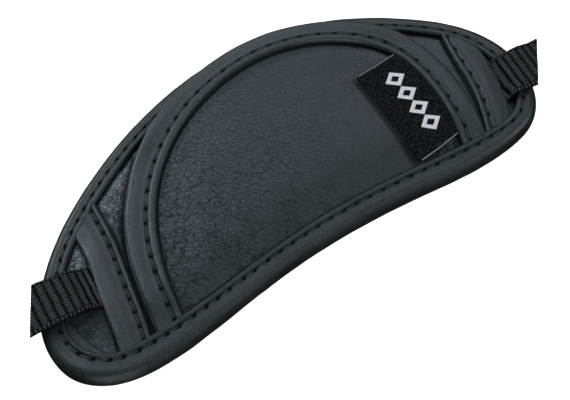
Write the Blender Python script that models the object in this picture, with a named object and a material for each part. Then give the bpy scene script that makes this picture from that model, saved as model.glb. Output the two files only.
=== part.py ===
"""Padded camera hand strap: a leather covered crescent pad with a webbing out of each end.

Metres, +X along the pad, +Y towards the arch, +Z up, origin under the middle of the pad.
"""
import math
from collections import namedtuple

import bmesh
import bpy
import numpy as np
from mathutils import Vector
from mathutils.geometry import delaunay_2d_cdt

# Overall size of the pad, without the webbings
PAD_LENGTH = 0.163
PAD_WIDTH = 0.073

# Clear gap between two pieces that lie on each other
GAP = 0.0003

# Foam and front leather of the pad
FOAM_THICK = 0.0029
FRONT_THICK = 0.0010
FRONT_CROWN = 0.0006
FRONT_CROWN_RUN = 0.009

# Leather folded round the rim: outer band, sunk stitch groove, raised lip
EDGE_BAND = 0.0052
EDGE_LIP = 0.0020
EDGE_WALL = 0.0012
GROOVE_DEPTH = 0.0005
LIP_RISE = 0.0003

# Half moon panel: thickness under the rim's lip and under the arch's lip, and its crown
MOON_EDGE = 0.0009
MOON_SIDE = 0.0022
MOON_CROWN = 0.0012
MOON_CROWN_RUN = 0.016
MOON_FOOT_RUN = 0.011

# Leather folded round the half moon's arch
ARCH_BAND = 0.0058
ARCH_LIP = 0.0028
ARCH_WALL = 0.0013

# Leather strips across both ends
LEFT_END_BAND = 0.0073
RIGHT_END_BAND = 0.0064
END_LIP = 0.0020
END_THICK = 0.0013

# Nylon webbings: the tails run from the end band's free edge to an oblique cut, where they are
# wider by the flare
WEB_WIDTH = 0.0127
WEB_FLARE = 0.0018
WEB_THICK = 0.0016
WEB_HELD = 0.0035
LEFT_TAIL = 0.0195
RIGHT_TAIL = 0.0132
TAIL_DROOP = 0.0020

# Woven label, whose foot is this clear of the rim's lip, and the patch in the left corner
LABEL_LENGTH = 0.0318
LABEL_WIDTH = 0.0131
LABEL_THICK = 0.0008
LABEL_LIFT = 0.0005
LABEL_CLEAR = 0.0023
PATCH_THICK = 0.0009

# Shares of the rim's section: where the foam's slot starts in the band, and how far the step
# behind the lip and the flap under the pad reach in lips
SLOT_START = 0.36
LIP_STEP = 0.20
FLAP_REACH = 0.50

# Round outer edges: how far in they reach as a share of the band, the turn they start at and
# the number of corners; and where the underside of the arch and of an end band starts
Roll = namedtuple("Roll", "reach start corners")
RIM_ROLL = Roll(reach=0.60, start=-90, corners=7)
ARCH_ROLL = Roll(reach=0.35, start=-50, corners=6)
END_ROLL = Roll(reach=0.10, start=-50, corners=4)
ARCH_FOOT = 0.12
END_FOOT = 0.06

# Corners between the round edge and the groove of an end band, as shares of the band
END_FLAT = (0.28, 0.42, 0.56, 0.70)

# Distances inside the rim's lip where an upper piece starts to climb and is up on the rim
MOON_CLIMB_START = 0.0080
MOON_CLIMB_END = 0.0015
WEB_CLIMB_START = 0.0034
WEB_CLIMB_END = 0.0004

# Distance over which an end band comes down beside the webbing under it
WEB_MARGIN = 0.0030

# Share of the label's width over which its lifted edge comes down
LIFT_REACH = 0.5

# How finely curves and panels are divided
DENSE = 720
RIM_STATIONS = 100
ARCH_STATIONS = 46
END_STATIONS = 22
WEB_STATIONS = 14
WEB_STRIPS = 4
LABEL_ROWS = 9
MOON_SPACING = 0.0042
FRONT_SPACING = 0.0070
LABEL_SPACING = 0.0034
PATCH_STATIONS = 9
PATCH_SPACING = 0.0036
WRAP_ROWS = 4

# Inner points of a panel stay this share of their spacing inside its border
BORDER_MARGIN = 0.45

# Edges that turn by more than this many degrees are shaded sharp
SHARP_TURN = 40


def table(columns, rows):
    """A short table as one array for each named column."""
    values = np.array(rows, float)
    return {name: values[:, k] for k, name in enumerate(columns.split())}


# Outline of the pad, anticlockwise from the left end. along and across are shares of the
# pad's length and width from its middle, band is a share of EDGE_BAND, and swell tells how
# much of the half moon's edge the rim takes in (0 none, 1 all of it).
OUTLINE = table("along across band swell", [
    (-0.499, -0.218, 1.05, 0.60),
    (-0.488, -0.352, 1.20, 0.85),
    (-0.442, -0.447, 1.15, 1.00),
    (-0.350, -0.493, 1.18, 1.00),
    (-0.170, -0.462, 1.04, 1.00),
    (+0.010, -0.437, 1.02, 1.00),
    (+0.190, -0.468, 1.06, 1.00),
    (+0.355, -0.500, 0.98, 1.00),
    (+0.460, -0.430, 0.76, 0.70),
    (+0.499, -0.180, 0.82, 0.35),
    (+0.468, +0.028, 0.66, 0.10),
    (+0.384, +0.230, 0.68, 0.00),
    (+0.240, +0.424, 0.66, 0.00),
    (+0.060, +0.500, 0.66, 0.00),
    (-0.150, +0.427, 0.64, 0.00),
    (-0.320, +0.258, 0.66, 0.00),
    (-0.438, +0.056, 0.74, 0.10),
])

# Outer edge of the arch binding from the left foot over the top to the right foot; both
# ends lie beyond the rim's lip, where the binding is cut off. width is a share of ARCH_BAND
# and of ARCH_LIP.
ARCH = table("along across width", [
    (-0.336, -0.440, 1.00),
    (-0.312, -0.180, 1.00),
    (-0.281, +0.010, 1.06),
    (-0.236, +0.160, 1.02),
    (-0.176, +0.290, 0.98),
    (-0.090, +0.405, 0.94),
    (+0.020, +0.466, 0.84),
    (+0.110, +0.470, 0.80),
    (+0.200, +0.421, 0.78),
    (+0.280, +0.326, 0.82),
    (+0.335, +0.205, 0.84),
    (+0.368, +0.050, 0.88),
    (+0.377, -0.120, 0.92),
    (+0.370, -0.280, 0.92),
    (+0.354, -0.440, 0.92),
])

# Free edges of the end bands, from the near long edge to the far one; width is a share of
# the band and of its lip
LEFT_END = table("along across width", [
    (-0.412, -0.440, 1.00),
    (-0.387, -0.260, 1.00),
    (-0.371, -0.110, 1.02),
    (-0.355, +0.010, 0.98),
    (-0.347, +0.120, 1.00),
    (-0.343, +0.260, 1.06),
])
RIGHT_END = table("along across width", [
    (+0.396, -0.500, 1.00),
    (+0.421, -0.370, 1.00),
    (+0.441, -0.240, 1.02),
    (+0.452, -0.110, 1.03),
    (+0.455, +0.000, 0.90),
    (+0.457, +0.120, 0.70),
])

# Stitch groove and the lip beside it: shares of the band, the lip, GROOVE_DEPTH, LIP_RISE
STITCHED_LIP = table("band lip groove rise", [
    (0.86, 0.00, 0.1, +0.0),
    (1.00, 0.00, 1.0, +0.0),
    (1.00, 0.30, 0.0, +0.6),
    (1.00, 0.70, 0.0, +1.0),
    (1.00, 1.00, 0.0, -0.4),
])

# Free edge of the corner patch, from the webbing down to the rim
PATCH_EDGE = table("along across", [
    (-0.440, -0.090),
    (-0.438, -0.160),
    (-0.435, -0.225),
    (-0.427, -0.295),
    (-0.411, -0.370),
])

# Where each webbing leaves its band, which way it runs, and how its cut leans
Web = namedtuple("Web", "mouth turn tail lean")
LEFT_WEB = Web(mouth=-0.082, turn=171.5, tail=LEFT_TAIL, lean=+0.230)
RIGHT_WEB = Web(mouth=-0.245, turn=-5.5, tail=RIGHT_TAIL, lean=+0.310)

# One corner of a section: its inset in bands, lips and metres, its height in thicknesses
# and metres
Spot = namedtuple("Spot", "band lip inset thick lift")

# Leather, webbing and woven finishes: colour, roughness
SMOOTH_LEATHER = ((0.055, 0.062, 0.066), 0.42)
GRAINED_LEATHER = ((0.045, 0.052, 0.057), 0.55)
FOAM = ((0.012, 0.012, 0.013), 0.90)
NYLON = ((0.014, 0.015, 0.016), 0.70)
WOVEN = ((0.008, 0.009, 0.010), 0.80)


def ease(share):
    """Smooth step from 0 to 1."""
    share = np.clip(share, 0.0, 1.0)
    return share * share * (3.0 - 2.0 * share)


def cubic(knots, values):
    """Natural cubic through the rows of values, as a function of the knot value."""
    step = np.diff(knots)
    count = len(knots)
    system = np.eye(count)
    right = np.zeros_like(values)
    for k in range(1, count - 1):
        system[k, k - 1:k + 2] = step[k - 1], 2 * (step[k - 1] + step[k]), step[k]
        right[k] = 6 * ((values[k + 1] - values[k]) / step[k]
                        - (values[k] - values[k - 1]) / step[k - 1])
    bend = np.linalg.solve(system, right)

    def read(at):
        k = np.clip(np.searchsorted(knots, at, side="right") - 1, 0, count - 2)
        span = step[k][:, None]
        low = (knots[k + 1] - at)[:, None] / span
        high = 1.0 - low
        return (low * values[k] + high * values[k + 1]
                + ((low**3 - low) * bend[k] + (high**3 - high) * bend[k + 1]) * span**2 / 6)

    return read


def smooth_rows(columns, closed):
    """DENSE evenly spaced rows on a smooth curve; the first two columns are along, across."""
    rows = np.column_stack([columns[0] * PAD_LENGTH, columns[1] * PAD_WIDTH, *columns[2:]])
    spare = WRAP_ROWS if closed else 0
    if closed:
        rows = np.vstack([rows[-spare:], rows, rows[:spare + 1]])
    knots = np.concatenate([[0.0], np.cumsum(np.hypot(*np.diff(rows[:, :2], axis=0).T))])
    read = cubic(knots, rows)
    first = knots[spare]
    last = knots[-1 - spare]
    fine = read(np.linspace(first, last, 4 * DENSE + 1))
    length = np.concatenate([[0.0], np.cumsum(np.hypot(*np.diff(fine[:, :2], axis=0).T))])
    even = np.linspace(0.0, length[-1], DENSE, endpoint=not closed)
    return np.column_stack([np.interp(even, length, fine[:, k]) for k in range(rows.shape[1])])


def read_rows(rows, at):
    """Rows at fractional indices, straight between neighbours."""
    low = np.floor(at).astype(int)
    share = (at - low)[:, None]
    count = len(rows)
    return rows[low % count] * (1 - share) + rows[(low + 1) % count] * share


class Curve:
    """A smooth plan curve with unit normals to its left, and the nearest place on it."""

    def __init__(self, columns, closed):
        rows = smooth_rows(columns, closed)
        self.closed = closed
        self.points = rows[:, :2]
        self.extra = rows[:, 2:]
        if closed:
            run = np.roll(self.points, -1, 0) - np.roll(self.points, 1, 0)
        else:
            run = np.gradient(self.points, axis=0)
        run /= np.hypot(*run.T)[:, None]
        self.normals = np.column_stack([-run[:, 1], run[:, 0]])

    def locate(self, spots):
        """Signed distance to the left of the curve, and the fractional index beside it."""
        start = self.points
        side = np.roll(start, -1, 0) - start
        if not self.closed:
            start = start[:-1]
            side = side[:-1]
        square = (side**2).sum(1)
        away = spots[:, None, :] - start[None]
        share = np.clip((away * side).sum(2) / square, 0.0, 1.0)
        miss = away - share[..., None] * side
        far = (miss**2).sum(2)
        pick = far.argmin(1)
        row = np.arange(len(spots))
        at = pick + share[row, pick]
        normal = read_rows(self.normals, at)
        sign = np.sign((miss[row, pick] * normal).sum(1))
        return sign * np.sqrt(far[row, pick]), at


class Rim(Curve):
    """The pad's outline with the widths and thickness of the binding round it."""

    def __init__(self):
        columns = [OUTLINE[name] for name in ("along", "across", "band", "swell")]
        super().__init__(columns, closed=True)
        self.band = self.extra[:, 0] * EDGE_BAND
        self.swell = np.clip(self.extra[:, 1], 0.0, 1.0)
        lowest = front_edge_height() + GAP + EDGE_WALL - LIP_RISE
        self.thick = lowest + self.swell * (MOON_EDGE + GAP)
        self.inner = self.band + EDGE_LIP

    def clearance(self, spots):
        """Distance inside the lip's inner wall, and swell and lip height there."""
        depth, at = self.locate(spots)
        near = read_rows(np.column_stack([self.inner, self.swell, self.thick]), at)
        return depth - near[:, 0], near[:, 1], near[:, 2] + LIP_RISE

    def ring(self, inset, count=RIM_STATIONS):
        """Closed ring of plan points at an inset given for each dense point."""
        at = np.linspace(0, DENSE, count, endpoint=False)
        return read_rows(self.points + self.normals * inset[:, None], at)


class Arch(Curve):
    """Outer edge of the arch binding, with its widths; the half moon lies to its right."""

    def __init__(self):
        super().__init__([ARCH[name] for name in ("along", "across", "width")], closed=False)
        self.band = self.extra[:, 0] * ARCH_BAND
        self.lip = self.extra[:, 0] * ARCH_LIP

    def inside(self, spots):
        """Distance inside the arch's lip, negative under it."""
        side, at = self.locate(spots)
        inner = read_rows((self.band + self.lip)[:, None], at)[:, 0]
        return -side - inner


def front_edge_height():
    """Top of the front leather where it goes under the rim's lip."""
    return FOAM_THICK + GAP + FRONT_THICK


class Surfaces:
    """Heights of the stacked pieces over any plan point."""

    def __init__(self, rim, arch):
        self.rim = rim
        self.arch = arch

    def front(self, spots):
        """Top of the front leather, crowned away from the rim."""
        clear = self.rim.clearance(spots)[0]
        return front_edge_height() + FRONT_CROWN * ease(clear / FRONT_CROWN_RUN)

    def climb(self, spots, start, end, share):
        """Floor for a piece that climbs from the front leather onto the rim's lip."""
        clear, _, lip_top = self.rim.clearance(spots)
        rising = ease((start - clear) / (start - end)) * share
        low = self.front(spots)
        return low + (lip_top - low) * rising

    def moon_floor(self, spots):
        """Underside of the half moon and the arch: over the rim only where it has no swell."""
        swell = self.rim.clearance(spots)[1]
        return self.climb(spots, MOON_CLIMB_START, MOON_CLIMB_END, 1.0 - swell) + GAP

    def moon_side(self, spots):
        """Thickness of the half moon without its crown: thin near the near long edge."""
        clear, swell, _ = self.rim.clearance(spots)
        foot = swell * ease(1.0 - clear / MOON_FOOT_RUN)
        return MOON_EDGE + (MOON_SIDE - MOON_EDGE) * (1.0 - foot)

    def moon_top(self, spots):
        """Top of the half moon, crowned away from the arch's lip and from the rim's."""
        clear = self.rim.clearance(spots)[0]
        crown = ease(self.arch.inside(spots) / MOON_CROWN_RUN) * ease(clear / MOON_CROWN_RUN)
        return self.moon_floor(spots) + self.moon_side(spots) + MOON_CROWN * crown

    def arch_thick(self, spots):
        """Thickness of the arch binding, whose lip lies on the half moon."""
        return self.moon_side(spots) + GAP + ARCH_WALL - LIP_RISE


class Webbing:
    """A straight webbing from under its end band to an oblique cut."""

    def __init__(self, web, band_edge, surfaces):
        self.web = web
        self.surfaces = surfaces
        level = web.mouth * PAD_WIDTH
        order = np.argsort(band_edge.points[:, 1])
        edge = band_edge.points[order]
        self.mouth = np.array([np.interp(level, edge[:, 1], edge[:, 0]), level])
        turn = math.radians(web.turn)
        self.along = np.array([math.cos(turn), math.sin(turn)])
        upward = 1.0 if self.along[0] > 0 else -1.0
        self.across = upward * np.array([-self.along[1], self.along[0]])

    def floor(self, spots):
        """Underside of the webbing, which hangs a little beyond the pad."""
        depth = self.surfaces.rim.locate(spots)[0]
        droop = TAIL_DROOP * ease(-depth / (self.web.tail / 2))
        rise = self.surfaces.climb(spots, WEB_CLIMB_START, WEB_CLIMB_END, 1.0)
        return rise + GAP - droop

    def bulge(self, spots):
        """How far the webbing lifts the band that lies over it."""
        local = spots - self.mouth
        beside = np.abs(local @ self.across) - (WEB_WIDTH + WEB_FLARE / 2) / 2
        behind = -(local @ self.along) - WEB_HELD
        cover = ease(1.0 - beside / WEB_MARGIN) * ease(1.0 - behind / WEB_MARGIN)
        return cover * (self.floor(spots) + WEB_THICK - self.surfaces.front(spots))

    def rings(self):
        """Sections across the webbing, from its held end to its cut."""
        rows = []
        side = np.linspace(-0.5, 0.5, WEB_STRIPS + 1)
        widest = WEB_WIDTH + WEB_FLARE
        reach = self.web.tail + self.web.lean * 2 * side * widest * self.along[0]
        for share in np.linspace(0.0, 1.0, WEB_STATIONS):
            run = -WEB_HELD + share * (reach + WEB_HELD)
            wide = WEB_WIDTH + share * WEB_FLARE
            spots = (self.mouth + run[:, None] * self.along
                     + (side * wide)[:, None] * self.across)
            low = np.column_stack([spots, self.floor(spots)])
            high = low + (0, 0, WEB_THICK)
            rows.append(np.vstack([low, high[::-1]]))
        return np.array(rows)


def rolled_edge(roll):
    """Round outer edge of folded leather, from its underside to its top."""
    turns = np.radians(np.linspace(roll.start, 90, roll.corners))
    return [Spot(roll.reach * (1 - math.cos(a)), 0, 0, (1 + math.sin(a)) / 2, 0)
            for a in turns]


def stitched_lip():
    """Sunk stitch groove and the raised lip beside it."""
    return [Spot(band, lip, 0, 1, rise * LIP_RISE - groove * GROOVE_DEPTH)
            for band, lip, groove, rise in zip(*STITCHED_LIP.values())]


def strip_rings(edge, band, lip, section, height, floor, rim, stations):
    """Sections along a strip to the right of its edge; each long line of it is cut off by
    itself, clear of the rim's lip."""
    lines = []
    for spot in section:
        inset = spot.band * band + spot.lip * lip + spot.inset
        spots = edge.points - edge.normals * inset[:, None]
        clear = rim.clearance(spots)[0] - GAP
        inside = np.nonzero(clear > 0)[0]
        first = inside[0] - clear[inside[0]] / (clear[inside[0]] - clear[inside[0] - 1])
        last = inside[-1] + clear[inside[-1]] / (clear[inside[-1]] - clear[inside[-1] + 1])
        plan = read_rows(spots, np.linspace(first, last, stations))
        tall = spot.thick * height(plan) + spot.lift
        lines.append(np.column_stack([plan, floor(plan) + tall]))
    return np.swapaxes(np.array(lines), 0, 1)


def material(name, finish):
    """Plain material of one piece."""
    colour, rough = finish
    made = bpy.data.materials.new(name)
    made.use_nodes = True
    shader = made.node_tree.nodes["Principled BSDF"]
    shader.inputs["Base Color"].default_value = (*colour, 1.0)
    shader.inputs["Roughness"].default_value = rough
    shader.inputs["Metallic"].default_value = 0.0
    return made


def add_solid(name, points, faces, finish):
    """One closed mesh object with its faces pointing outwards."""
    mesh = bpy.data.meshes.new(name)
    mesh.from_pydata([tuple(p) for p in points], [], faces)
    work = bmesh.new()
    work.from_mesh(mesh)
    bmesh.ops.recalc_face_normals(work, faces=work.faces)
    work.to_mesh(mesh)
    work.free()
    mesh.shade_smooth()
    mesh.set_sharp_from_angle(angle=math.radians(SHARP_TURN))
    mesh.materials.append(material(name, finish))
    bpy.context.scene.collection.objects.link(bpy.data.objects.new(name, mesh))


def add_loft(name, rings, closed, finish):
    """Solid through a row of rings with as many corners each; closed joins last to first."""
    count, sides = rings.shape[:2]
    faces = []
    for k in range(count if closed else count - 1):
        for j in range(sides):
            corner = [(k, j), (k, j + 1), (k + 1, j + 1), (k + 1, j)]
            faces.append([(a % count) * sides + b % sides for a, b in corner])
    if not closed:
        faces.append(list(range(sides)))
        faces.append([(count - 1) * sides + j for j in reversed(range(sides))])
    add_solid(name, rings.reshape(-1, 3), faces, finish)


def add_panel(name, border, spacing, low, high, finish):
    """Solid sheet inside a plan border, between two height functions."""
    size = len(border)
    steps = [np.arange(border[:, k].min() + spacing / 2, border[:, k].max(), spacing)
             for k in (0, 1)]
    grid = np.array([(x, y) for x in steps[0] for y in steps[1]]).reshape(-1, 2)
    fence = [Vector(p) for p in border]
    inner = [Vector(p) for p in grid if is_within(border, p, BORDER_MARGIN * spacing)]
    made = delaunay_2d_cdt(fence + inner, [], [list(range(size))], 1, 1e-7)
    plan = np.array([tuple(p) for p in made[0]])
    below = np.column_stack([plan, low(plan)])
    above = np.column_stack([plan, high(plan)])
    count = len(plan)
    faces = [list(f) for f in made[2]]
    rim = [(f[k], f[(k + 1) % 3]) for f in faces for k in range(3)]
    single = set(rim) - {(b, a) for a, b in rim}
    walls = [(a, b, b + count, a + count) for a, b in sorted(single)]
    top = [[i + count for i in f] for f in faces]
    add_solid(name, np.vstack([below, above]), faces + top + walls, finish)


def is_within(border, spot, margin):
    """Whether a plan point lies inside a border and clear of it by a margin."""
    start = border
    side = np.roll(border, -1, 0) - border
    away = spot - start
    share = np.clip((away * side).sum(1) / (side**2).sum(1), 0, 1)
    near = np.hypot(*(away - share[:, None] * side).T).min()
    crosses = (start[:, 1] > spot[1]) != (start[:, 1] + side[:, 1] > spot[1])
    reach = start[:, 0] + side[:, 0] * away[:, 1] / np.where(side[:, 1] == 0, 1, side[:, 1])
    return near > margin and np.count_nonzero(crosses & (reach > spot[0])) % 2 == 1


def build_back_pad(rim):
    """Foam body: flat underside inside the flap, thin rim inside the binding's slot."""
    flap = rim.ring(rim.band + FLAP_REACH * EDGE_LIP + GAP)
    slot = rim.ring(SLOT_START * rim.band + GAP)
    step = EDGE_WALL + GAP
    rings = [np.column_stack([ring, np.full(RIM_STATIONS, level)])
             for ring, level in ((flap, 0.0), (flap, step), (slot, step), (slot, FOAM_THICK))]
    add_loft("back_pad", np.array(rings), False, FOAM)


def tucked_ring(rim, count):
    """Border of a sheet that goes under the rim's lip as far as the step behind it."""
    return rim.ring(rim.band + LIP_STEP * EDGE_LIP + GAP, count)


def build_front_leather(rim, surfaces):
    """Grained leather over the foam."""
    low = FOAM_THICK + GAP
    add_panel("front_leather", tucked_ring(rim, RIM_STATIONS), FRONT_SPACING,
              lambda spots: np.full(len(spots), low), surfaces.front, GRAINED_LEATHER)


def build_edge_binding(rim):
    """Leather folded round the rim, with a slot that holds the foam and the front."""
    under_lip = LIP_RISE - EDGE_WALL
    section = rolled_edge(RIM_ROLL) + stitched_lip() + [
        Spot(1, 1, 0, 1, under_lip),
        Spot(1, LIP_STEP, 0, 1, under_lip),
        Spot(1, LIP_STEP, 0, 0, FOAM_THICK + GAP),
        Spot(SLOT_START, 0, 0, 0, FOAM_THICK + GAP),
        Spot(SLOT_START, 0, 0, 0, EDGE_WALL),
        Spot(1, FLAP_REACH, 0, 0, EDGE_WALL),
        Spot(1, FLAP_REACH, 0, 0, 0),
    ]
    lines = []
    for spot in section:
        plan = rim.ring(spot.band * rim.band + spot.lip * EDGE_LIP)
        at = np.linspace(0, DENSE, RIM_STATIONS, endpoint=False)
        thick = read_rows(rim.thick[:, None], at)[:, 0]
        lines.append(np.column_stack([plan, spot.thick * thick + spot.lift]))
    add_loft("edge_binding", np.swapaxes(np.array(lines), 0, 1), True, SMOOTH_LEATHER)


def build_arch_binding(rim, arch, surfaces):
    """Leather folded round the half moon's arch; it has no underside, being sewn down."""
    under_lip = LIP_RISE - ARCH_WALL
    section = [Spot(ARCH_FOOT, 0, 0, 0, 0)] + rolled_edge(ARCH_ROLL) + stitched_lip() + [
        Spot(1, 1, 0, 1, under_lip),
        Spot(0, 0, ARCH_WALL, 1, under_lip),
        Spot(0, 0, ARCH_WALL, 0, 0),
    ]
    rings = strip_rings(arch, arch.band, arch.lip, section, surfaces.arch_thick,
                        surfaces.moon_floor, rim, ARCH_STATIONS)
    add_loft("arch_binding", rings, False, SMOOTH_LEATHER)


def moon_border(rim, arch):
    """Plan border of the half moon: along the arch, and back under the rim's near lip."""
    edge = arch.points - arch.normals * (ARCH_WALL + GAP)
    clear = rim.clearance(edge)[0] + (1 - LIP_STEP) * EDGE_LIP - GAP
    inside = np.nonzero(clear > 0)[0]
    upper = read_rows(edge, np.linspace(inside[0], inside[-1], 2 * ARCH_STATIONS))
    feet = rim.locate(upper[[0, -1]])[1]
    lower = rim.points + rim.normals * (rim.band + LIP_STEP * EDGE_LIP + GAP)[:, None]
    back = read_rows(lower[:, :2], np.linspace(feet[1], feet[0], ARCH_STATIONS)[1:-1])
    return np.vstack([upper, back])


def build_half_moon(rim, arch, surfaces):
    """Padded half moon of grained leather."""
    add_panel("half_moon_panel", moon_border(rim, arch), MOON_SPACING,
              surfaces.moon_floor, surfaces.moon_top, GRAINED_LEATHER)


def build_end_band(name, edge, width, webbing, rim, surfaces):
    """Leather strip across one end, lifted where the webbing passes under it."""
    section = [Spot(share, 0, 0, 0, 0) for share in (*END_FLAT[::-1], END_FOOT)]
    section += rolled_edge(END_ROLL)
    section += [Spot(share, 0, 0, 1, 0) for share in END_FLAT]
    section += stitched_lip() + [Spot(1, 1, 0, 0, 0)]

    def floor(spots):
        return surfaces.front(spots) + GAP + webbing.bulge(spots)

    def thick(spots):
        return np.full(len(spots), END_THICK)

    share = edge.extra[:, 0]
    rings = strip_rings(edge, share * width, share * END_LIP, section, thick, floor, rim,
                        END_STATIONS)
    add_loft(name, rings, False, SMOOTH_LEATHER)


def build_label(rim, arch, surfaces):
    """Woven label: its right side lies along the arch's lip, its foot is near the rim's, and
    its left edge stands up a little."""
    lip = arch.points - arch.normals * (arch.band + arch.lip + GAP)[:, None]
    lip = lip[lip[:, 1].argmax():][::-1]
    clear = rim.clearance(lip)[0]
    rising = slice(0, clear.argmax() + 1)
    foot = np.interp(LABEL_CLEAR, clear[rising], lip[rising, 1])
    levels = np.linspace(foot, foot + LABEL_LENGTH, LABEL_ROWS)
    right = np.column_stack([np.interp(levels, lip[:, 1], lip[:, 0]), levels])
    left = right[0, 0] - LABEL_WIDTH
    border = np.vstack([right, [(left, level) for level in levels[::-1]]])

    def low(spots):
        width = border[:, 0].max() - left
        lift = LABEL_LIFT * ease(1.0 - (spots[:, 0] - left) / (LIFT_REACH * width))
        return surfaces.moon_top(spots) + GAP + lift

    add_panel("label", border, LABEL_SPACING, low, lambda s: low(s) + LABEL_THICK, WOVEN)


def build_corner_patch(rim, webbing, surfaces):
    """Leather segment between the rim's lip, its own free edge and the webbing."""
    edge = Curve(list(PATCH_EDGE.values()), closed=False)
    ring = np.roll(rim.ring(rim.inner + GAP, DENSE), DENSE // 2, axis=0)

    def kept(spots, ahead):
        below = (spots - webbing.mouth) @ webbing.across < -(WEB_WIDTH + WEB_FLARE) / 2 - GAP
        found = spots[below & ahead]
        return found[np.linspace(0, len(found) - 1, PATCH_STATIONS).astype(int)]

    def low(spots):
        return surfaces.front(spots) + GAP

    free = kept(edge.points, rim.clearance(edge.points)[0] > 2 * GAP)
    border = np.vstack([kept(ring, edge.locate(ring)[0] < 0), free[::-1]])
    add_panel("corner_patch", border, PATCH_SPACING, low,
              lambda s: low(s) + PATCH_THICK, SMOOTH_LEATHER)


def main():
    for old in list(bpy.data.objects):
        bpy.data.objects.remove(old, do_unlink=True)
    rim = Rim()
    arch = Arch()
    surfaces = Surfaces(rim, arch)
    left_edge = Curve(list(LEFT_END.values()), closed=False)
    right_edge = Curve([column[::-1] for column in RIGHT_END.values()], closed=False)
    left_web = Webbing(LEFT_WEB, left_edge, surfaces)
    right_web = Webbing(RIGHT_WEB, right_edge, surfaces)
    build_back_pad(rim)
    build_front_leather(rim, surfaces)
    build_edge_binding(rim)
    build_half_moon(rim, arch, surfaces)
    build_arch_binding(rim, arch, surfaces)
    build_end_band("left_end_band", left_edge, LEFT_END_BAND, left_web, rim, surfaces)
    build_end_band("right_end_band", right_edge, RIGHT_END_BAND, right_web, rim, surfaces)
    build_label(rim, arch, surfaces)
    build_corner_patch(rim, left_web, surfaces)
    add_loft("left_webbing", left_web.rings(), False, NYLON)
    add_loft("right_webbing", right_web.rings(), False, NYLON)


main()
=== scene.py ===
"""Looks of the padded camera hand strap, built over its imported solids.

Metres, in the solids' own frame: +X along the pad, +Y towards the arch, +Z up.
"""

import math
from collections import namedtuple

import bmesh
import bpy
import numpy as np
from mathutils import Matrix, Vector, kdtree

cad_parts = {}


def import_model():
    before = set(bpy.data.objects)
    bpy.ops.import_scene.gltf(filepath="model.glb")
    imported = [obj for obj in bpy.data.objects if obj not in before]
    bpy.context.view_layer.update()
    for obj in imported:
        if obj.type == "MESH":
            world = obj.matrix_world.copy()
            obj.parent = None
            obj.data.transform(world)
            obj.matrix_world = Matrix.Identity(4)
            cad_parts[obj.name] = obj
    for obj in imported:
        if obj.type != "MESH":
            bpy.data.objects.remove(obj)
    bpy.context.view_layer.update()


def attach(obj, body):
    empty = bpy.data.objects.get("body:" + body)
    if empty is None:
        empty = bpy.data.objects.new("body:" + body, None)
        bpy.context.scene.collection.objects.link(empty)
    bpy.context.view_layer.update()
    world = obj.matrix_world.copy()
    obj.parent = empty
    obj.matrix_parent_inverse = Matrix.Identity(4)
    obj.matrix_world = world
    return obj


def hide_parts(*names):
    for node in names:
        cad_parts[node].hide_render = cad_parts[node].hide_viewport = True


MM = 0.001

# Photograph's frame and the camera that it was taken with
PHOTO_WIDTH = 570
AZIMUTH = -35.0
ELEVATION = 62.0
DISTANCE = 0.62
PIXELS_PER_MM = 3.5
AIM = (0.000115, -0.0116, 0.0)
SENSOR = 36.0

# Soft lights round the camera: metres to its right, above it and towards it; size, watts
LIGHTS = [
    ("key", -0.85, 0.88, 0.28, 0.30, 7.6),
    ("key_high", -0.45, 0.80, 0.75, 0.35, 2.6),
    ("top", 0.10, 1.05, 0.40, 0.50, 2.3),
    ("above", 0.05, 0.55, 1.00, 0.50, 1.4),
    ("right", 0.95, 0.35, 0.65, 0.50, 5.6),
    ("below", 0.10, -0.75, 0.90, 0.50, 5.3),
    ("foot", 0.20, -1.15, 0.25, 0.50, 2.2),
]
LIGHT_COLOUR = (0.93, 0.975, 1.0)
WORLD_LIGHT = 0.04
FLOOR_HALF = 3.0
FLOOR_SHADE = 0.90

# Sizes of the solids
PAD_LENGTH = 0.163
PAD_WIDTH = 0.073
GAP = 0.0003
FOAM_THICK = 0.0029
FRONT_THICK = 0.0010
FRONT_EDGE = FOAM_THICK + GAP + FRONT_THICK
FRONT_CROWN = 0.0006
FRONT_CROWN_RUN = 0.009
EDGE_BAND = 0.0052
EDGE_LIP = 0.0020
EDGE_WALL = 0.0012
LIP_RISE = 0.0003
MOON_EDGE = 0.0009
MOON_SIDE = 0.0022
MOON_CROWN = 0.0012
MOON_CROWN_RUN = 0.016
MOON_FOOT_RUN = 0.011
ARCH_BAND = 0.0058
ARCH_LIP = 0.0028
ARCH_WALL = 0.0013
LEFT_END_BAND = 0.0073
RIGHT_END_BAND = 0.0064
END_LIP = 0.0020
END_THICK = 0.0013
WEB_WIDTH = 0.0127
WEB_FLARE = 0.0018
WEB_HALF = (WEB_WIDTH + WEB_FLARE / 2) / 2
WEB_THICK = 0.0016
WEB_HELD = 0.0035
LEFT_TAIL = 0.0195
RIGHT_TAIL = 0.0132
TAIL_DROOP = 0.0020
LABEL_LENGTH = 0.0318
LABEL_WIDTH = 0.0131
LABEL_THICK = 0.0008
LABEL_LIFT = 0.0005
LABEL_CLEAR = 0.0023
LIFT_REACH = 0.5
LABEL_LAYER = 0.0003
PATCH_THICK = 0.0009
MOON_CLIMB_START = 0.0080
MOON_CLIMB_END = 0.0015
WEB_CLIMB_START = 0.0034
WEB_CLIMB_END = 0.0004
WEB_MARGIN = 0.0065
SLOT_START = 0.36
LIP_STEP = 0.20
FLAP_REACH = 0.50

# Points along each smooth curve, and rows that a closed one repeats at both ends
DENSE = 1440
WRAP_ROWS = 4

# How far sheets go on under the lips that hold them, and strips into what they lie on
TUCK = 1.2 * MM
PATCH_TUCK = 0.8 * MM
STRIP_TUCK = 0.25 * MM
SINK = 0.2 * MM

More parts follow.
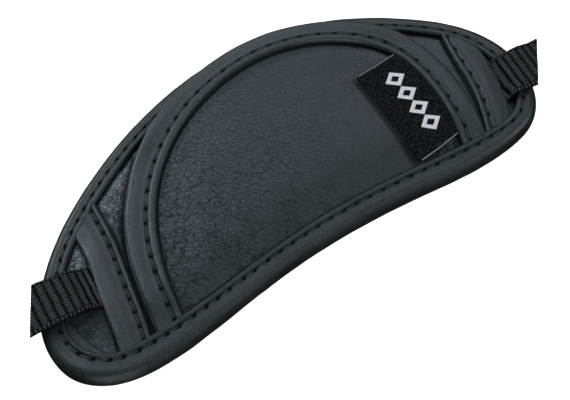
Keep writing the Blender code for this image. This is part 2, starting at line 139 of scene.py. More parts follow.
# Stitching: pitches, thread, place on the lip, and the needle holes that pull the leather in
RIM_PITCH = 4.45 * MM
ARCH_PITCH = 5.05 * MM
LEFT_PITCH = 4.4 * MM
RIGHT_PITCH = 4.6 * MM
PITCH_UNEVEN = 0.16
THREAD_RADIUS = 0.15 * MM
THREAD_LIFT = 0.16 * MM
THREAD_BOW = 0.20 * MM
THREAD_SLANT = 0.34 * MM
PLY_OFFSET = 0.11 * MM
PLY_TURNS = 1.5
STITCH_PLACE = 0.03
HOLE_RADIUS = 0.28 * MM
HOLE_LENGTH = 0.55 * MM
HOLE_DEPTH = 0.75 * MM
PUCKER = 0.11 * MM
PUCKER_REACH = 3.4
GROOVE_DEPTH = 0.40 * MM

# Soft give: leather folds, sinks along seams and in narrow slits, and swells in the wedge; the
# webbing presses into the pad at its mouth, rises to the rim's lip and arcs over it
FOLD_SIZE = 7 * MM
FOLD_DEPTH = 0.10 * MM
SLIT_DEPTH = 0.9 * MM
SEAM_DEPTH = 0.45 * MM
SEAM_REACH = 0.55 * MM
WEDGE_SWELL = 1.0 * MM
WEB_RISE = 6.5 * MM
BAND_LIFT = 0.30 * MM

# How far from the webbing its painted shadow reaches, and over what distance that starts
WEB_SHADOW = 12 * MM
SHADOW_START = 3 * MM

# Heights of the half moon's creases and the height at which a crease's painted shade is full; the
# arch's right foot
LONG_CREASE = 0.22 * MM
FINE_CREASE = 0.08 * MM
FOOT_CREASE = 0.34 * MM
CREASE_SHADE_DEPTH = 0.20 * MM
RIGHT_FOOT = (46 * MM, -29 * MM)

# Webbing: warp threads that pass over the ribs, with holes between them from rib to rib
WEB_STEP = 0.095 * MM
THREADS = 17
THREAD_LEAN = 0.42
RIB_EASE = 5.0 * MM
RIB_SWAY = 0.07
SELVEDGE = 0.85
SCALLOP = 0.7 * MM

# Label: lift of its fold at the foot, how far its left side leans out at the top and how much
# more at the foot, the same for the rise of its right side, and the lozenges woven on it
FOLD_LIFT = 0.6 * MM
LEAN = (0.6 * MM, 0.7 * MM)
TILT = (1.2 * MM, 0.8 * MM)
LOZENGES = 4
LOZENGE_TALL = 5.6 * MM
LOZENGE_WIDE = 3.5 * MM
LOZENGE_STEP = 5.75 * MM
LOZENGE_FOOT = 8.2 * MM
LOZENGE_ASIDE = 8.8 * MM
LOZENGE_STROKE = 0.42

Web = namedtuple("Web", "mouth turn tail lean press arc near far")
Look = namedtuple("Look", "finish slot")

# Spot of a section: shares of the band, of the lip and of the thickness, and how far it lifts
Spot = namedtuple("Spot", "band lip thick lift")


def table(columns, rows):
    """A short table as one array for each named column."""
    values = np.array(rows, float)
    return {name: values[:, k] for k, name in enumerate(columns.split())}


# Outline of the pad, anticlockwise from the left end, as shares of its length and width;
# band is a share of EDGE_BAND, swell tells how much of the half moon's edge the rim takes in
OUTLINE = table("along across band swell", [
    (-0.499, -0.218, 1.05, 0.60),
    (-0.488, -0.352, 1.20, 0.85),
    (-0.442, -0.447, 1.15, 1.00),
    (-0.350, -0.493, 1.18, 1.00),
    (-0.170, -0.462, 1.04, 1.00),
    (+0.010, -0.437, 1.02, 1.00),
    (+0.190, -0.468, 1.06, 1.00),
    (+0.355, -0.500, 0.98, 1.00),
    (+0.460, -0.430, 0.76, 0.70),
    (+0.499, -0.180, 0.82, 0.35),
    (+0.468, +0.028, 0.66, 0.10),
    (+0.384, +0.230, 0.68, 0.00),
    (+0.240, +0.424, 0.66, 0.00),
    (+0.060, +0.500, 0.66, 0.00),
    (-0.150, +0.427, 0.64, 0.00),
    (-0.320, +0.258, 0.66, 0.00),
    (-0.438, +0.056, 0.74, 0.10),
])

# Outer edge of the arch binding from its left foot over the top to its right foot
ARCH = table("along across width", [
    (-0.336, -0.440, 1.00),
    (-0.312, -0.180, 1.00),
    (-0.281, +0.010, 1.06),
    (-0.236, +0.160, 1.02),
    (-0.176, +0.290, 0.98),
    (-0.090, +0.405, 0.94),
    (+0.020, +0.466, 0.84),
    (+0.110, +0.470, 0.80),
    (+0.200, +0.421, 0.78),
    (+0.280, +0.326, 0.82),
    (+0.335, +0.205, 0.84),
    (+0.368, +0.050, 0.88),
    (+0.377, -0.120, 0.92),
    (+0.370, -0.280, 0.92),
    (+0.354, -0.440, 0.92),
])

# Free edges of the end bands, each with its band to the right of its run
LEFT_END = table("along across width", [
    (-0.412, -0.440, 1.00),
    (-0.387, -0.260, 1.00),
    (-0.371, -0.110, 1.02),
    (-0.355, +0.010, 0.98),
    (-0.347, +0.120, 1.00),
    (-0.343, +0.260, 1.06),
])
RIGHT_END = table("along across width", [
    (+0.457, +0.120, 0.70),
    (+0.455, +0.000, 0.90),
    (+0.452, -0.110, 1.03),
    (+0.441, -0.240, 1.02),
    (+0.421, -0.370, 1.00),
    (+0.396, -0.500, 1.00),
])

# Free edge of the corner patch, from the webbing down to the rim
PATCH_EDGE = table("along across", [
    (-0.440, -0.090),
    (-0.438, -0.160),
    (-0.435, -0.225),
    (-0.427, -0.295),
    (-0.411, -0.370),
])

# Stitch groove and the lip beside it: shares of the band, the lip, GROOVE_DEPTH, LIP_RISE
STITCHED_LIP = table("band lip groove rise", [
    (0.80, 0.00, 0.00, +0.00),
    (0.90, 0.00, 0.00, +0.20),
    (0.95, 0.00, 0.15, +0.00),
    (0.985, 0.00, 0.80, +0.00),
    (1.00, 0.02, 1.00, +0.00),
    (1.00, 0.09, 0.60, +0.00),
    (1.00, 0.17, 0.00, +0.60),
    (1.00, 0.36, 0.00, +1.60),
    (1.00, 0.60, 0.00, +2.00),
    (1.00, 0.84, 0.00, +1.60),
    (1.00, 1.00, 0.00, +0.30),
    (1.00, 1.06, 0.00, -2.00),
])

# Webbings: how far they press into the pad and arc over the rim, and their ribs' pitch at the
# mouth and at the far end
LEFT_WEB = Web(mouth=-0.082, turn=171.5, tail=LEFT_TAIL, lean=+0.230,
               press=0.55 * MM, arc=0.5 * MM, near=1.65 * MM, far=2.75 * MM)
RIGHT_WEB = Web(mouth=-0.245, turn=-5.5, tail=RIGHT_TAIL, lean=+0.310,
                press=0.18 * MM, arc=0.2 * MM, near=2.05 * MM, far=2.45 * MM)


def ease(value, start=0.0, stop=1.0):
    """Smooth step from 0 at the start to 1 at the stop, which may be the lower of the two."""
    share = np.clip((value - start) / (stop - start), 0.0, 1.0)
    return share * share * (3.0 - 2.0 * share)


def hill(far, radius):
    """1 at no distance, falling softly to 0 over about two radii."""
    return np.exp(-(far / radius)**2)


def unit(vectors):
    """Vectors made one long."""
    return vectors / np.maximum(np.linalg.norm(vectors, axis=-1, keepdims=True), 1e-12)


def cubic(knots, values):
    """Natural cubic through the rows of values, as a function of the knot value."""
    step = np.diff(knots)
    count = len(knots)
    system = np.eye(count)
    right = np.zeros_like(values)
    for k in range(1, count - 1):
        system[k, k - 1:k + 2] = step[k - 1], 2 * (step[k - 1] + step[k]), step[k]
        right[k] = 6 * ((values[k + 1] - values[k]) / step[k]
                        - (values[k] - values[k - 1]) / step[k - 1])
    bend = np.linalg.solve(system, right)

    def read(at):
        k = np.clip(np.searchsorted(knots, at, side="right") - 1, 0, count - 2)
        span = step[k][:, None]
        low = (knots[k + 1] - at)[:, None] / span
        high = 1.0 - low
        return (low * values[k] + high * values[k + 1]
                + ((low**3 - low) * bend[k] + (high**3 - high) * bend[k + 1]) * span**2 / 6)

    return read


def line_length(line):
    """Distance run at each point of a line."""
    return np.concatenate([[0.0], np.cumsum(np.linalg.norm(np.diff(line, axis=0), axis=1))])


def read_line(line, run, at):
    """Rows of a line where a growing value that each row has is as given."""
    return np.column_stack([np.interp(at, run, column) for column in line.T])


def along_line(line, at):
    """Points of a line at given distances."""
    return read_line(line, line_length(line), at)


def read_rows(rows, at):
    """Rows, or plain values, at fractional indices, straight between neighbours."""
    low = np.floor(at).astype(int)
    share = (at - low).reshape(-1, *[1] * (rows.ndim - 1))
    count = len(rows)
    return rows[low % count] * (1 - share) + rows[(low + 1) % count] * share


def smooth_rows(shape, closed):
    """DENSE evenly spaced rows on a smooth curve through a table's places, with its widths."""
    along, across, *widths = shape.values()
    rows = np.column_stack([along * PAD_LENGTH, across * PAD_WIDTH, *widths])
    spare = WRAP_ROWS if closed else 0
    if closed:
        rows = np.vstack([rows[-spare:], rows, rows[:spare + 1]])
    knots = line_length(rows[:, :2])
    fine = cubic(knots, rows)(np.linspace(knots[spare], knots[-1 - spare], 4 * DENSE + 1))
    length = line_length(fine[:, :2])
    return read_line(fine, length, np.linspace(0.0, length[-1], DENSE, endpoint=not closed))


def run_of(points, closed):
    """Direction of a line of points at each of them."""
    if closed:
        return np.roll(points, -1, 0) - np.roll(points, 1, 0)
    return np.gradient(points, axis=0)


def tree_of(points):
    """Search tree of points in the plan or in space."""
    tree = kdtree.KDTree(len(points))
    for k, point in enumerate(points):
        tree.insert(Vector(point).to_3d(), k)
    tree.balance()
    return tree


class Curve:
    """A smooth plan curve with unit normals to its left, and the nearest place on it."""

    def __init__(self, shape, closed=False):
        rows = smooth_rows(shape, closed)
        self.closed = closed
        self.points = rows[:, :2]
        self.extra = rows[:, 2:]
        run = unit(run_of(self.points, closed))
        self.normals = np.column_stack([-run[:, 1], run[:, 0]])
        self.tree = tree_of(self.points)

    def shifted(self, aside):
        """The curve's points moved to its left."""
        return self.points + self.normals * aside[:, None]

    def locate(self, spots):
        """Signed distance to the left of the curve, and the fractional index beside it."""
        near = np.array([self.tree.find((x, y, 0.0))[1] for x, y in spots])
        count = len(self.points)
        found = []
        for shift in (-1, 0):
            index = near + shift
            if not self.closed:
                index = np.clip(index, 0, count - 2)
            start = self.points[index % count]
            side = self.points[(index + 1) % count] - start
            share = np.clip(((spots - start) * side).sum(1) / (side**2).sum(1), 0.0, 1.0)
            miss = spots - start - share[:, None] * side
            found.append((index + share, miss, (miss**2).sum(1)))
        first, second = found
        nearer = first[2] <= second[2]
        at = np.where(nearer, first[0], second[0])
        miss = np.where(nearer[:, None], first[1], second[1])
        sign = np.sign((miss * read_rows(self.normals, at)).sum(1))
        return sign * np.hypot(*miss.T), at % count


class Rim(Curve):
    """The pad's outline with the widths and thickness of the binding round it."""

    def __init__(self):
        super().__init__(OUTLINE, closed=True)
        self.band = self.extra[:, 0] * EDGE_BAND
        self.swell = np.clip(self.extra[:, 1], 0.0, 1.0)
        lowest = FRONT_EDGE + GAP + EDGE_WALL - LIP_RISE
        self.thick = lowest + self.swell * (MOON_EDGE + GAP)
        self.inner = self.band + EDGE_LIP


class Strip(Curve):
    """Free edge of a stitched strip that lies to its right, with the strip's widths and the
    pitch of its stitches."""

    def __init__(self, shape, band, lip, pitch):
        super().__init__(shape)
        self.band = self.extra[:, 0] * band
        self.lip = self.extra[:, 0] * lip
        self.reach = self.band + self.lip
        self.pitch = pitch


RIM = Rim()
ARCH_EDGE = Strip(ARCH, ARCH_BAND, ARCH_LIP, ARCH_PITCH)


class Place:
    """Plan points, with their distances to the rim's and the arch's lips."""

    def __init__(self, spots):
        self.spots = spots
        self.depth, at = RIM.locate(spots)
        self.clear = self.depth - read_rows(RIM.inner, at)
        self.swell = read_rows(RIM.swell, at)
        self.lip_top = read_rows(RIM.thick, at) + LIP_RISE
        self.outside, at = ARCH_EDGE.locate(spots)
        self.inside = -self.outside - read_rows(ARCH_EDGE.reach, at)


def front_top(place):
    """Top of the front leather, crowned away from the rim."""
    return FRONT_EDGE + FRONT_CROWN * ease(place.clear, 0, FRONT_CROWN_RUN)


def moon_floor(place):
    """Underside of the half moon and the arch, which climb from the front leather onto the
    rim's lip."""
    rising = ease(place.clear, MOON_CLIMB_START, MOON_CLIMB_END) * (1.0 - place.swell)
    low = front_top(place)
    return low + (place.lip_top - low) * rising + GAP


def moon_side(place):
    """Thickness of the half moon without its crown: thin near the near long edge."""
    foot = place.swell * ease(place.clear, MOON_FOOT_RUN, 0)
    return MOON_EDGE + (MOON_SIDE - MOON_EDGE) * (1.0 - foot)


def moon_top(place):
    """Top of the half moon, crowned away from the arch's lip and from the rim's."""
    crown = ease(place.inside, 0, MOON_CROWN_RUN) * ease(place.clear, 0, MOON_CROWN_RUN)
    return moon_floor(place) + moon_side(place) + MOON_CROWN * crown


def arch_thick(place):
    """Thickness of the arch binding, whose lip lies on the half moon."""
    return moon_side(place) + GAP + ARCH_WALL - LIP_RISE


class Webbing:
    """A straight webbing from under its end band to an oblique cut."""

    def __init__(self, web, band):
        self.web = web
        level = web.mouth * PAD_WIDTH
        edge = band.points[np.argsort(band.points[:, 1])]
        self.mouth = np.array([np.interp(level, edge[:, 1], edge[:, 0]), level])
        turn = math.radians(web.turn)
        self.along = np.array([math.cos(turn), math.sin(turn)])
        upward = 1.0 if self.along[0] > 0 else -1.0
        self.across = upward * np.array([-self.along[1], self.along[0]])

    def local(self, spots):
        """How far plan points are along the webbing from its mouth, and across it."""
        away = spots - self.mouth
        return away @ self.along, away @ self.across

    def floor(self, place):
        """Underside of the webbing: pressed into the pad at its mouth, it rises to the rim's
        lip and hangs a little beyond the pad."""
        run, _ = self.local(place.spots)
        rising = np.maximum(ease(run, 0, WEB_RISE),
                            ease(place.clear, WEB_CLIMB_START, WEB_CLIMB_END))
        droop = TAIL_DROOP * ease(-place.depth, 0, self.web.tail / 2)
        low = front_top(place) - self.web.press
        return low + (place.lip_top + GAP + self.web.arc - low) * rising - droop

    def shadow(self, spots):
        """Strength of the webbing's painted shadow on the leather below its near side."""
        run, aside = self.local(spots)
        below = -aside - WEB_HALF
        start = ease(run, -SHADOW_START, 0) * ease(below, -SHADOW_START, 0)
        return start * ease(below, WEB_SHADOW, 0)

    def bulge(self, place):
        """How far the webbing lifts the band that lies over it."""
        run, aside = self.local(place.spots)
        beside = ease(np.abs(aside) - WEB_HALF, WEB_MARGIN, 0)
        return BAND_LIFT * beside * ease(-run - WEB_HELD, WEB_MARGIN, 0)


def hashed(cells, seed):
    """Repeatable values from 0 to 1 for whole numbered cells, one row each."""
    mixed = np.full(len(cells), np.uint64(seed * 7919 + 17), np.uint64)
    for column, prime in zip(cells.T, (73856093, 19349663, 83492791)):
        mixed ^= (column.astype(np.int64) + (1 << 20)).astype(np.uint64) * np.uint64(prime)
        mixed ^= mixed >> np.uint64(13)
        mixed = (mixed * np.uint64(0x5851F42D4C957F2D)) & np.uint64(0xFFFFFFFFFFFF)
    return ((mixed >> np.uint64(16)) & np.uint64(0xFFFF)).astype(float) / 0xFFFF


def wave_noise(points, seed):
    """Smooth noise from -1 to 1 at points of any dimension, with cells of size 1."""
    low = np.floor(points)
    share = points - low
    share = share**3 * (share * (share * 6 - 15) + 10)
    total = np.zeros(len(points))
    size = points.shape[1]
    for corner in range(2**size):
        step = np.array([(corner >> k) & 1 for k in range(size)])
        weight = np.where(step, share, 1 - share).prod(1)
        total += weight * hashed(low + step, seed)
    return 2 * total - 1


def wander(points, scale, seed):
    """Noise in both directions of the plan."""
    return np.column_stack([wave_noise(points * scale, seed + k) for k in (0, 1)])


def layered(points, seed, layers):
    """Noise with finer layers of half the size and half the height."""
    total = np.zeros(len(points))
    for k in range(layers):
        total += wave_noise(points * 2**k, seed + k) / 2**k
    return total / 1.6


def uneven(spots, size, seed, height, layers=3):
    """Soft unevenness of a given size and height."""
    return height * layered(spots / size, seed, layers)


def cracks(points, seed, wide):
    """Thin lines between irregular cells of size 1: 1 on a line and 0 inside a cell."""
    points = points + 0.35 * wander(points, 0.9, seed + 2)
    home = np.floor(points)
    first = np.full(len(points), 9.0)
    second = first.copy()
    for step in np.ndindex(3, 3):
        cell = home + np.array(step) - 1
        heart = cell + 0.1 + 0.8 * np.column_stack([hashed(cell, seed), hashed(cell, seed + 1)])
        far = np.hypot(*(points - heart).T)
        second = np.minimum(second, np.maximum(first, far))
        first = np.minimum(first, far)
    return ease(second - first, wide, 0)


def creases(points, seed, sharp):
    """Narrow sharp lines, 1 on a crease and 0 between, that wander and fade."""
    value = layered(points + 0.30 * wander(points, 1.7, seed + 5), seed, 2)
    shown = ease(0.55 + 1.4 * wave_noise(points * 0.45, seed + 9))
    return np.exp(-np.abs(value) / sharp) * shown


def smooth_section(spots, count):
    """A section's corners made into a smooth line of count points."""
    rows = np.array(spots, float)
    flat = np.column_stack([rows[:, 0] * EDGE_BAND + rows[:, 1] * EDGE_LIP,
                            rows[:, 2] * 4 * MM + rows[:, 3]])
    knots = line_length(flat)
    return [Spot(*row) for row in cubic(knots, rows)(np.linspace(0.0, knots[-1], count))]


def rolled_edge(reach, start, corners=9):
    """Round outer edge of folded leather, from its underside to its top."""
    turns = np.radians(np.linspace(start, 90, corners))
    return [Spot(reach * (1 - math.cos(a)), 0, (1 + math.sin(a)) / 2, 0) for a in turns]


def stitched_lip():
    """Sunk stitch groove and the raised lip beside it."""
    return [Spot(band, lip, 1, rise * LIP_RISE - groove * GROOVE_DEPTH)
            for band, lip, groove, rise in zip(*STITCHED_LIP.values())]


def strip_grid(strip, section, height, floor, stations, tuck):
    """Grid of points along a strip; tuck is how far its ends go under the rim's lip."""
    lines = []
    for spot in section:
        spots = strip.shifted(-spot.band * strip.band - spot.lip * strip.lip)
        clear = Place(spots).clear + tuck
        first, last = np.nonzero(clear > 0)[0][[0, -1]]
        start = first - clear[first] / (clear[first] - clear[first - 1])
        stop = last + clear[last] / (clear[last] - clear[last + 1])
        plan = read_rows(spots, np.linspace(start, stop, stations))
        place = Place(plan)
        tall = spot.thick * height(place) + spot.lift
        lines.append(np.column_stack([plan, floor(place) + tall]))
    return np.stack(lines, axis=1)


def grid_normals(grid, closed):
    """Unit normals of a grid of points, upwards in its middle column."""
    normal = unit(np.cross(run_of(grid, closed), np.gradient(grid, axis=1)))
    return normal * np.sign(normal[:, grid.shape[1] // 2, 2].mean())


def dimples(grid, holes, radius):
    """1 at each needle hole, falling to 0 at its radius."""
    tree = tree_of(holes)
    far = np.array([tree.find(p)[2] for p in grid.reshape(-1, 3)]).reshape(grid.shape[:2])
    return hill(far, radius)


def stitch_ends(line, pitch):
    """Distances along a line at which stitches begin and end, nearly evenly spread."""
    total = line_length(line)[-1]
    count = max(2, round(total / pitch) + 1)
    shift = PITCH_UNEVEN * pitch * (hashed(np.arange(count)[:, None], count) - 0.5)
    shift[[0, -1]] = 0.0
    return np.linspace(0.0, total, count) + shift


def add_mesh(name, points, faces, look, stands_for=(), relief=None):
    """A piece of the strap, shaded smooth, that rides with the solids. The last argument is
    painted
    shading: 1 for full painted shade at the foot of a crease or a gap between threads, below 0
    for painted highlight and painted light."""
    mesh = bpy.data.meshes.new(name)
    mesh.from_pydata(np.asarray(points).tolist(), [], faces)
    mesh.shade_smooth()
    if relief is not None:
        # The attribute holds painted shade and painted highlight, not a depth
        depth = mesh.attributes.new("relief", "FLOAT", "POINT")
        depth.data.foreach_set("value", relief.ravel())
    volume = bmesh.new()
    volume.from_mesh(mesh)
    if volume.calc_volume(signed=True) < 0:
        mesh.flip_normals()
    volume.free()
    mesh.materials.append(look.finish)
    piece = bpy.data.objects.new(name, mesh)
    bpy.context.scene.collection.objects.link(piece)
    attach(piece, "root")
    if stands_for:
        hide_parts(*stands_for)
    return piece


def grid_faces(rows, columns, wrap_rows, wrap_columns, first=0):
    """Quads between the points of a grid."""
    k, j = np.meshgrid(np.arange(rows if wrap_rows else rows - 1),
                       np.arange(columns if wrap_columns else columns - 1), indexing="ij")
    near = k * columns
    far = (k + 1) % rows * columns
    side = (j + 1) % columns
    quads = np.stack([near + j, near + side, far + side, far + j], -1).reshape(-1, 4) + first
    return quads.tolist()


def tube_faces(rings, sides, first=0):
    """Faces of a tube through rings of points, capped at both ends."""
    caps = [[first + j for j in reversed(range(sides))],
            [first + (rings - 1) * sides + j for j in range(sides)]]
    return grid_faces(rings, sides, False, True, first) + caps


def add_tubes(name, tubes, look):
    """Capped tubes, each a grid of rings of points, as one piece."""
    faces = []
    first = 0
    for tube in tubes:
        rings, sides = tube.shape[:2]
        faces += tube_faces(rings, sides, first)
        first += rings * sides
    return add_mesh(name, np.concatenate([tube.reshape(-1, 3) for tube in tubes]), faces, look)


def add_loft(name, grid, closed, look, stands_for=(), relief=None):
    """A piece through rings of points: closed joins the last ring to the first, and otherwise
    both ends are capped."""
    rows, columns = grid.shape[:2]
    faces = grid_faces(rows, columns, True, True) if closed else tube_faces(rows, columns)
    return add_mesh(name, grid.reshape(-1, 3), faces, look, stands_for, relief)


def add_sheet(name, plan, top, depth, look, stands_for, relief=None):
    """A height field on a plan grid, with a skirt round its border and a coarser underside."""
    rows, columns = plan.shape[:2]
    grid = np.dstack([plan, top.reshape(rows, columns)])
    index = np.arange(rows * columns).reshape(rows, columns)
    border = np.concatenate([index[0, :-1], index[:-1, -1], index[-1, :0:-1], index[:0:-1, 0]])
    points = grid.reshape(-1, 3)
    skirt = points[border] - (0, 0, depth)
    faces = grid_faces(rows, columns, False, False)
    count = len(border)
    base = rows * columns
    for k in range(count):
        after = (k + 1) % count
        faces.append([int(border[after]), int(border[k]), base + k, base + after])
    few = [np.unique(np.linspace(0, size - 1, size // 6).astype(int)) for size in (rows, columns)]
    under = grid[few[0]][:, few[1]] - (0, 0, depth)
    faces += [quad[::-1] for quad in grid_faces(*under.shape[:2], False, False, base + count)]
    points = np.vstack([points, skirt, under.reshape(-1, 3)])
    if relief is not None:
        relief = np.concatenate([relief, np.zeros(len(points) - base)])
    return add_mesh(name, points, faces, look, stands_for, relief)


def side_frame(run):
    """Unit vectors level beside a run and above it, for one run or for many."""
    ahead = unit(run)
    beside = unit(np.cross((0.0, 0.0, 1.0), ahead))
    return beside, np.cross(ahead, beside)


def circle(turns, beside, above):
    """Points of a unit circle across two directions."""
    return np.cos(turns)[..., None] * beside + np.sin(turns)[..., None] * above


def corners_round(sides):
    """Angles of the corners of a round section."""
    return np.linspace(0, 2 * math.pi, sides, endpoint=False)


def round_thread(path, radius):
    """Rings of points round a path."""
    beside, above = side_frame(np.gradient(path, axis=0))
    return path[:, None] + radius * circle(corners_round(7), beside[:, None], above[:, None])


def add_stitches(name, lines, look):
    """Two ply thread along stitch lines, given with their pitches: each stitch comes out of one
    needle hole and goes into the next."""
    share = np.linspace(0.0, 1.0, 11)
    bow = np.sin(np.pi * share)
    thick = THREAD_RADIUS * (0.55 + 0.45 * bow**0.5)[:, None, None]
    slant = THREAD_SLANT * (share - 0.5)[:, None]
    rise = (THREAD_LIFT + THREAD_BOW * (bow**0.6 - 1.0))[:, None]
    tubes = []
    for line, pitch in lines:
        ends = stitch_ends(line, pitch)
        for start, stop in zip(ends[:-1], ends[1:]):
            run = along_line(line, np.array([start, stop]))
            beside, above = side_frame(run[1] - run[0])
            middle = along_line(line, start + (stop - start) * (0.10 + 0.80 * share))
            middle = middle + slant * beside + rise * above
            for ply in (0.0, math.pi):
                twist = ply + 2 * math.pi * PLY_TURNS * share + 7.0 * start / MM
                centre = middle + PLY_OFFSET * circle(twist, beside, above)
                tubes.append(centre[:, None] + thick * circle(corners_round(6), beside, above))
    return add_tubes(name, tubes, look)


class Value:
    """A number or colour that varies over a material, for sums and products with others."""

    def __init__(self, material, socket):
        self.material = material
        self.socket = socket

    def __add__(self, other):
        return self.material.math("ADD", self, other)

    def __sub__(self, other):
        return self.material.math("SUBTRACT", self, other)

    def __mul__(self, other):
        return self.material.math("MULTIPLY", self, other)

    def remap(self, low, high, to_low=0.0, to_high=1.0):
        """The value's range from low to high turned into another one, and kept within it."""
        return self.material("MapRange", "Result", {
            "Value": self, "From Min": low, "From Max": high, "To Min": to_low,
            "To Max": to_high})


class Material:
    """A node material: call it with a node's kind, the output to use, inputs and settings."""

    def __init__(self, name, slot):
        self.look = Look(bpy.data.materials.new(name), slot)
        self.look.finish.use_nodes = True
        self.tree = self.look.finish.node_tree
        self.shader = self.tree.nodes["Principled BSDF"]
        self.object = self("TexCoord", "Object")

    def __call__(self, kind, output, inputs=(), **settings):
        node = self.tree.nodes.new("ShaderNode" + kind)
        for key, value in settings.items():
            setattr(node, key, value)
        for key, value in dict(inputs).items():
            self.feed(node.inputs[key], value)
        return Value(self, node.outputs[output])

    def feed(self, socket, value):
        """Links a socket to what varies, or sets its value."""
        if isinstance(value, Value):
            self.tree.links.new(value.socket, socket)
        else:
            socket.default_value = value

    def math(self, operation, first, second=0.0):
        return self("Math", 0, {0: first, 1: second}, operation=operation)

    def relief(self):
        """Painted shade and painted highlight of the surface, from its mesh."""
        return self("Attribute", "Fac", attribute_name="relief")

    def plan(self):
        """How far along the pad and across it."""
        along = self("SeparateXYZ", 0, {0: self.object})
        return along, Value(self, along.socket.node.outputs[1])

    def noise(self, size, detail):
        """Noise with its size in metres."""
        return self("TexNoise", "Fac", {"Vector": self.object, "Scale": 1 / size,
                                        "Detail": detail, "Roughness": 0.55})

    def cells(self, size, feature, at):
        """Distance in irregular cells of a given size in metres."""
        return self("TexVoronoi", "Distance", {"Vector": at, "Scale": 1 / size},
                    feature=feature)

    def warped(self, size, amount):
        """Object coordinates moved about by noise."""
        noise = self("TexNoise", "Color", {"Vector": self.object, "Scale": 1 / size,
                                           "Detail": 2.0})
        shift = self("VectorMath", 0, {0: noise, 1: (0.5, 0.5, 0.5)}, operation="SUBTRACT")
        scaled = self("VectorMath", 0, {0: shift, "Scale": amount}, operation="SCALE")
        return self("VectorMath", 0, {0: self.object, 1: scaled}, operation="ADD")

    def weave(self, pitch):
        """Height of a fine diagonal weave from 0 to 1."""
        turn = 2 * math.pi / pitch
        first, second = [part * turn for part in self.plan()]
        rise = self.math("SINE", first + second * 0.5)
        cross = self.math("SINE", second - first * 0.35)
        return (rise * cross).remap(-1.0, 1.0)

    def ramp(self, value, stops):
        """Colour for a value: stops are (place, colour)."""
        made = self("ValToRGB", "Color", {"Fac": value})
        elements = made.socket.node.color_ramp.elements
        elements[0].position = stops[0][0]
        elements[1].position = stops[-1][0]
        for place, _ in stops[1:-1]:
            elements.new(place)
        for element, (_, colour) in zip(elements, stops):
            element.color = (*colour, 1)
        return made

    def bump(self, height, distance):
        return self("Bump", "Normal", {"Height": height, "Distance": distance, "Strength": 1.0})

    def finish(self, colour, rough, normal, **fixed):
        """The look with its shader's inputs; fixed ones are the same all over."""
        inputs = {"Base Color": colour, "Roughness": rough, "Normal": normal}
        inputs.update({key.replace("_", " "): value for key, value in fixed.items()})
        for key, value in inputs.items():
            self.feed(self.shader.inputs[key], value)
        return self.look


def leather(name, slot, dark, light, grain, grain_depth, crack_depth, crack_shade, speckle,
            rough, towards, painted_light):
    """Coated leather: pebbles, fine cracks with painted shade in them that fade towards the
    right, mottled colour and sheen. Painted light runs along a direction in the plan, darker
    towards the shaded side and lighter towards the lit one: the last argument gives where that
    starts and ends, and how much darker or lighter the leather is at each."""
    m = Material(name, slot)
    relief = m.relief()
    warped = m.warped(2.6 * MM, 1.1 * MM)
    longer = m("Mapping", 0, {"Vector": warped, "Rotation": (0, 0, math.radians(AZIMUTH)),
                              "Scale": (1.7, 1, 1)}, vector_type="TEXTURE")
    pebbles = m.cells(grain, "F1", warped)
    edges = m.cells(grain * 1.75, "DISTANCE_TO_EDGE", longer)
    thick = m.noise(4 * MM, 2.0).remap(0.35, 0.65, 0.04, 0.10)
    along, across = m.plan()
    crack = edges.remap(0.0, thick, 1.0, 0.0) * along.remap(-15 * MM, 30 * MM, 1.0, 0.25)
    # Painted light: lighter towards the lit side of the pad, darker towards the shaded side
    corner = along * towards[0] + across * towards[1]
    mottle = m.noise(9 * MM, 4.0)
    fine = m.noise(0.40 * MM, 3.0).remap(0.3, 0.7)
    shade = mottle * 0.6 + fine * speckle + (0.2 - 0.5 * speckle)
    # Painted shade and highlight from the mesh and in the cracks, and the painted light across
    # the plan
    shade = shade - crack * crack_shade - relief * 0.9 + corner.remap(*painted_light)
    # The brightest stops hold painted highlights and painted light
    colour = m.ramp(shade * 0.5, [(0.0, (0.0012, 0.0014, 0.0015)), (0.15, dark),
                                  (0.375, light), (0.5, [1.5 * part for part in light]),
                                  (0.9, [7.5 * part for part in light])])
    dull = mottle + (crack * 1.2 + relief * 1.6)
    dull = dull.remap(0.3, 1.9, rough - 0.04, rough + 0.35)
    height = pebbles * -grain_depth - crack * crack_depth + fine * (0.25 * grain_depth)
    return m.finish(colour, dull, m.bump(height, 1.0), Specular_IOR_Level=0.5,
                    Specular_Tint=(0.84, 0.94, 1.0, 1.0))


def yarn(name, slot, size, dark, light, rough):
    """Thread with fine fibres."""
    m = Material(name, slot)
    fibres = m.noise(size, 2.0)
    return m.finish(m.ramp(fibres, [(0.3, dark), (0.7, light)]), rough,
                    m.bump(fibres, 0.03 * MM))


def nylon():
    """Dark nylon, lighter on its threads, with painted shade between them from its mesh."""
    m = Material("nylon_webbing", "nylon_webbing")
    fibres = m.noise(0.10 * MM, 3.0)
    patches = m.noise(3.0 * MM, 3.0)
    mix = fibres * 0.35 + patches * 0.25
    relief = m.relief()
    # Painted shade between threads, ribs and loops
    colour = m.ramp(mix - relief + 0.5, [(0.10, (0.0002, 0.0002, 0.0003)),
                                         (0.45, (0.0014, 0.0016, 0.0017)),
                                         (0.85, (0.0480, 0.0515, 0.0525))])
    return m.finish(colour, (fibres + relief).remap(0.4, 1.4, 0.35, 0.80),
                    m.bump(fibres, 0.05 * MM), Specular_IOR_Level=0.15)


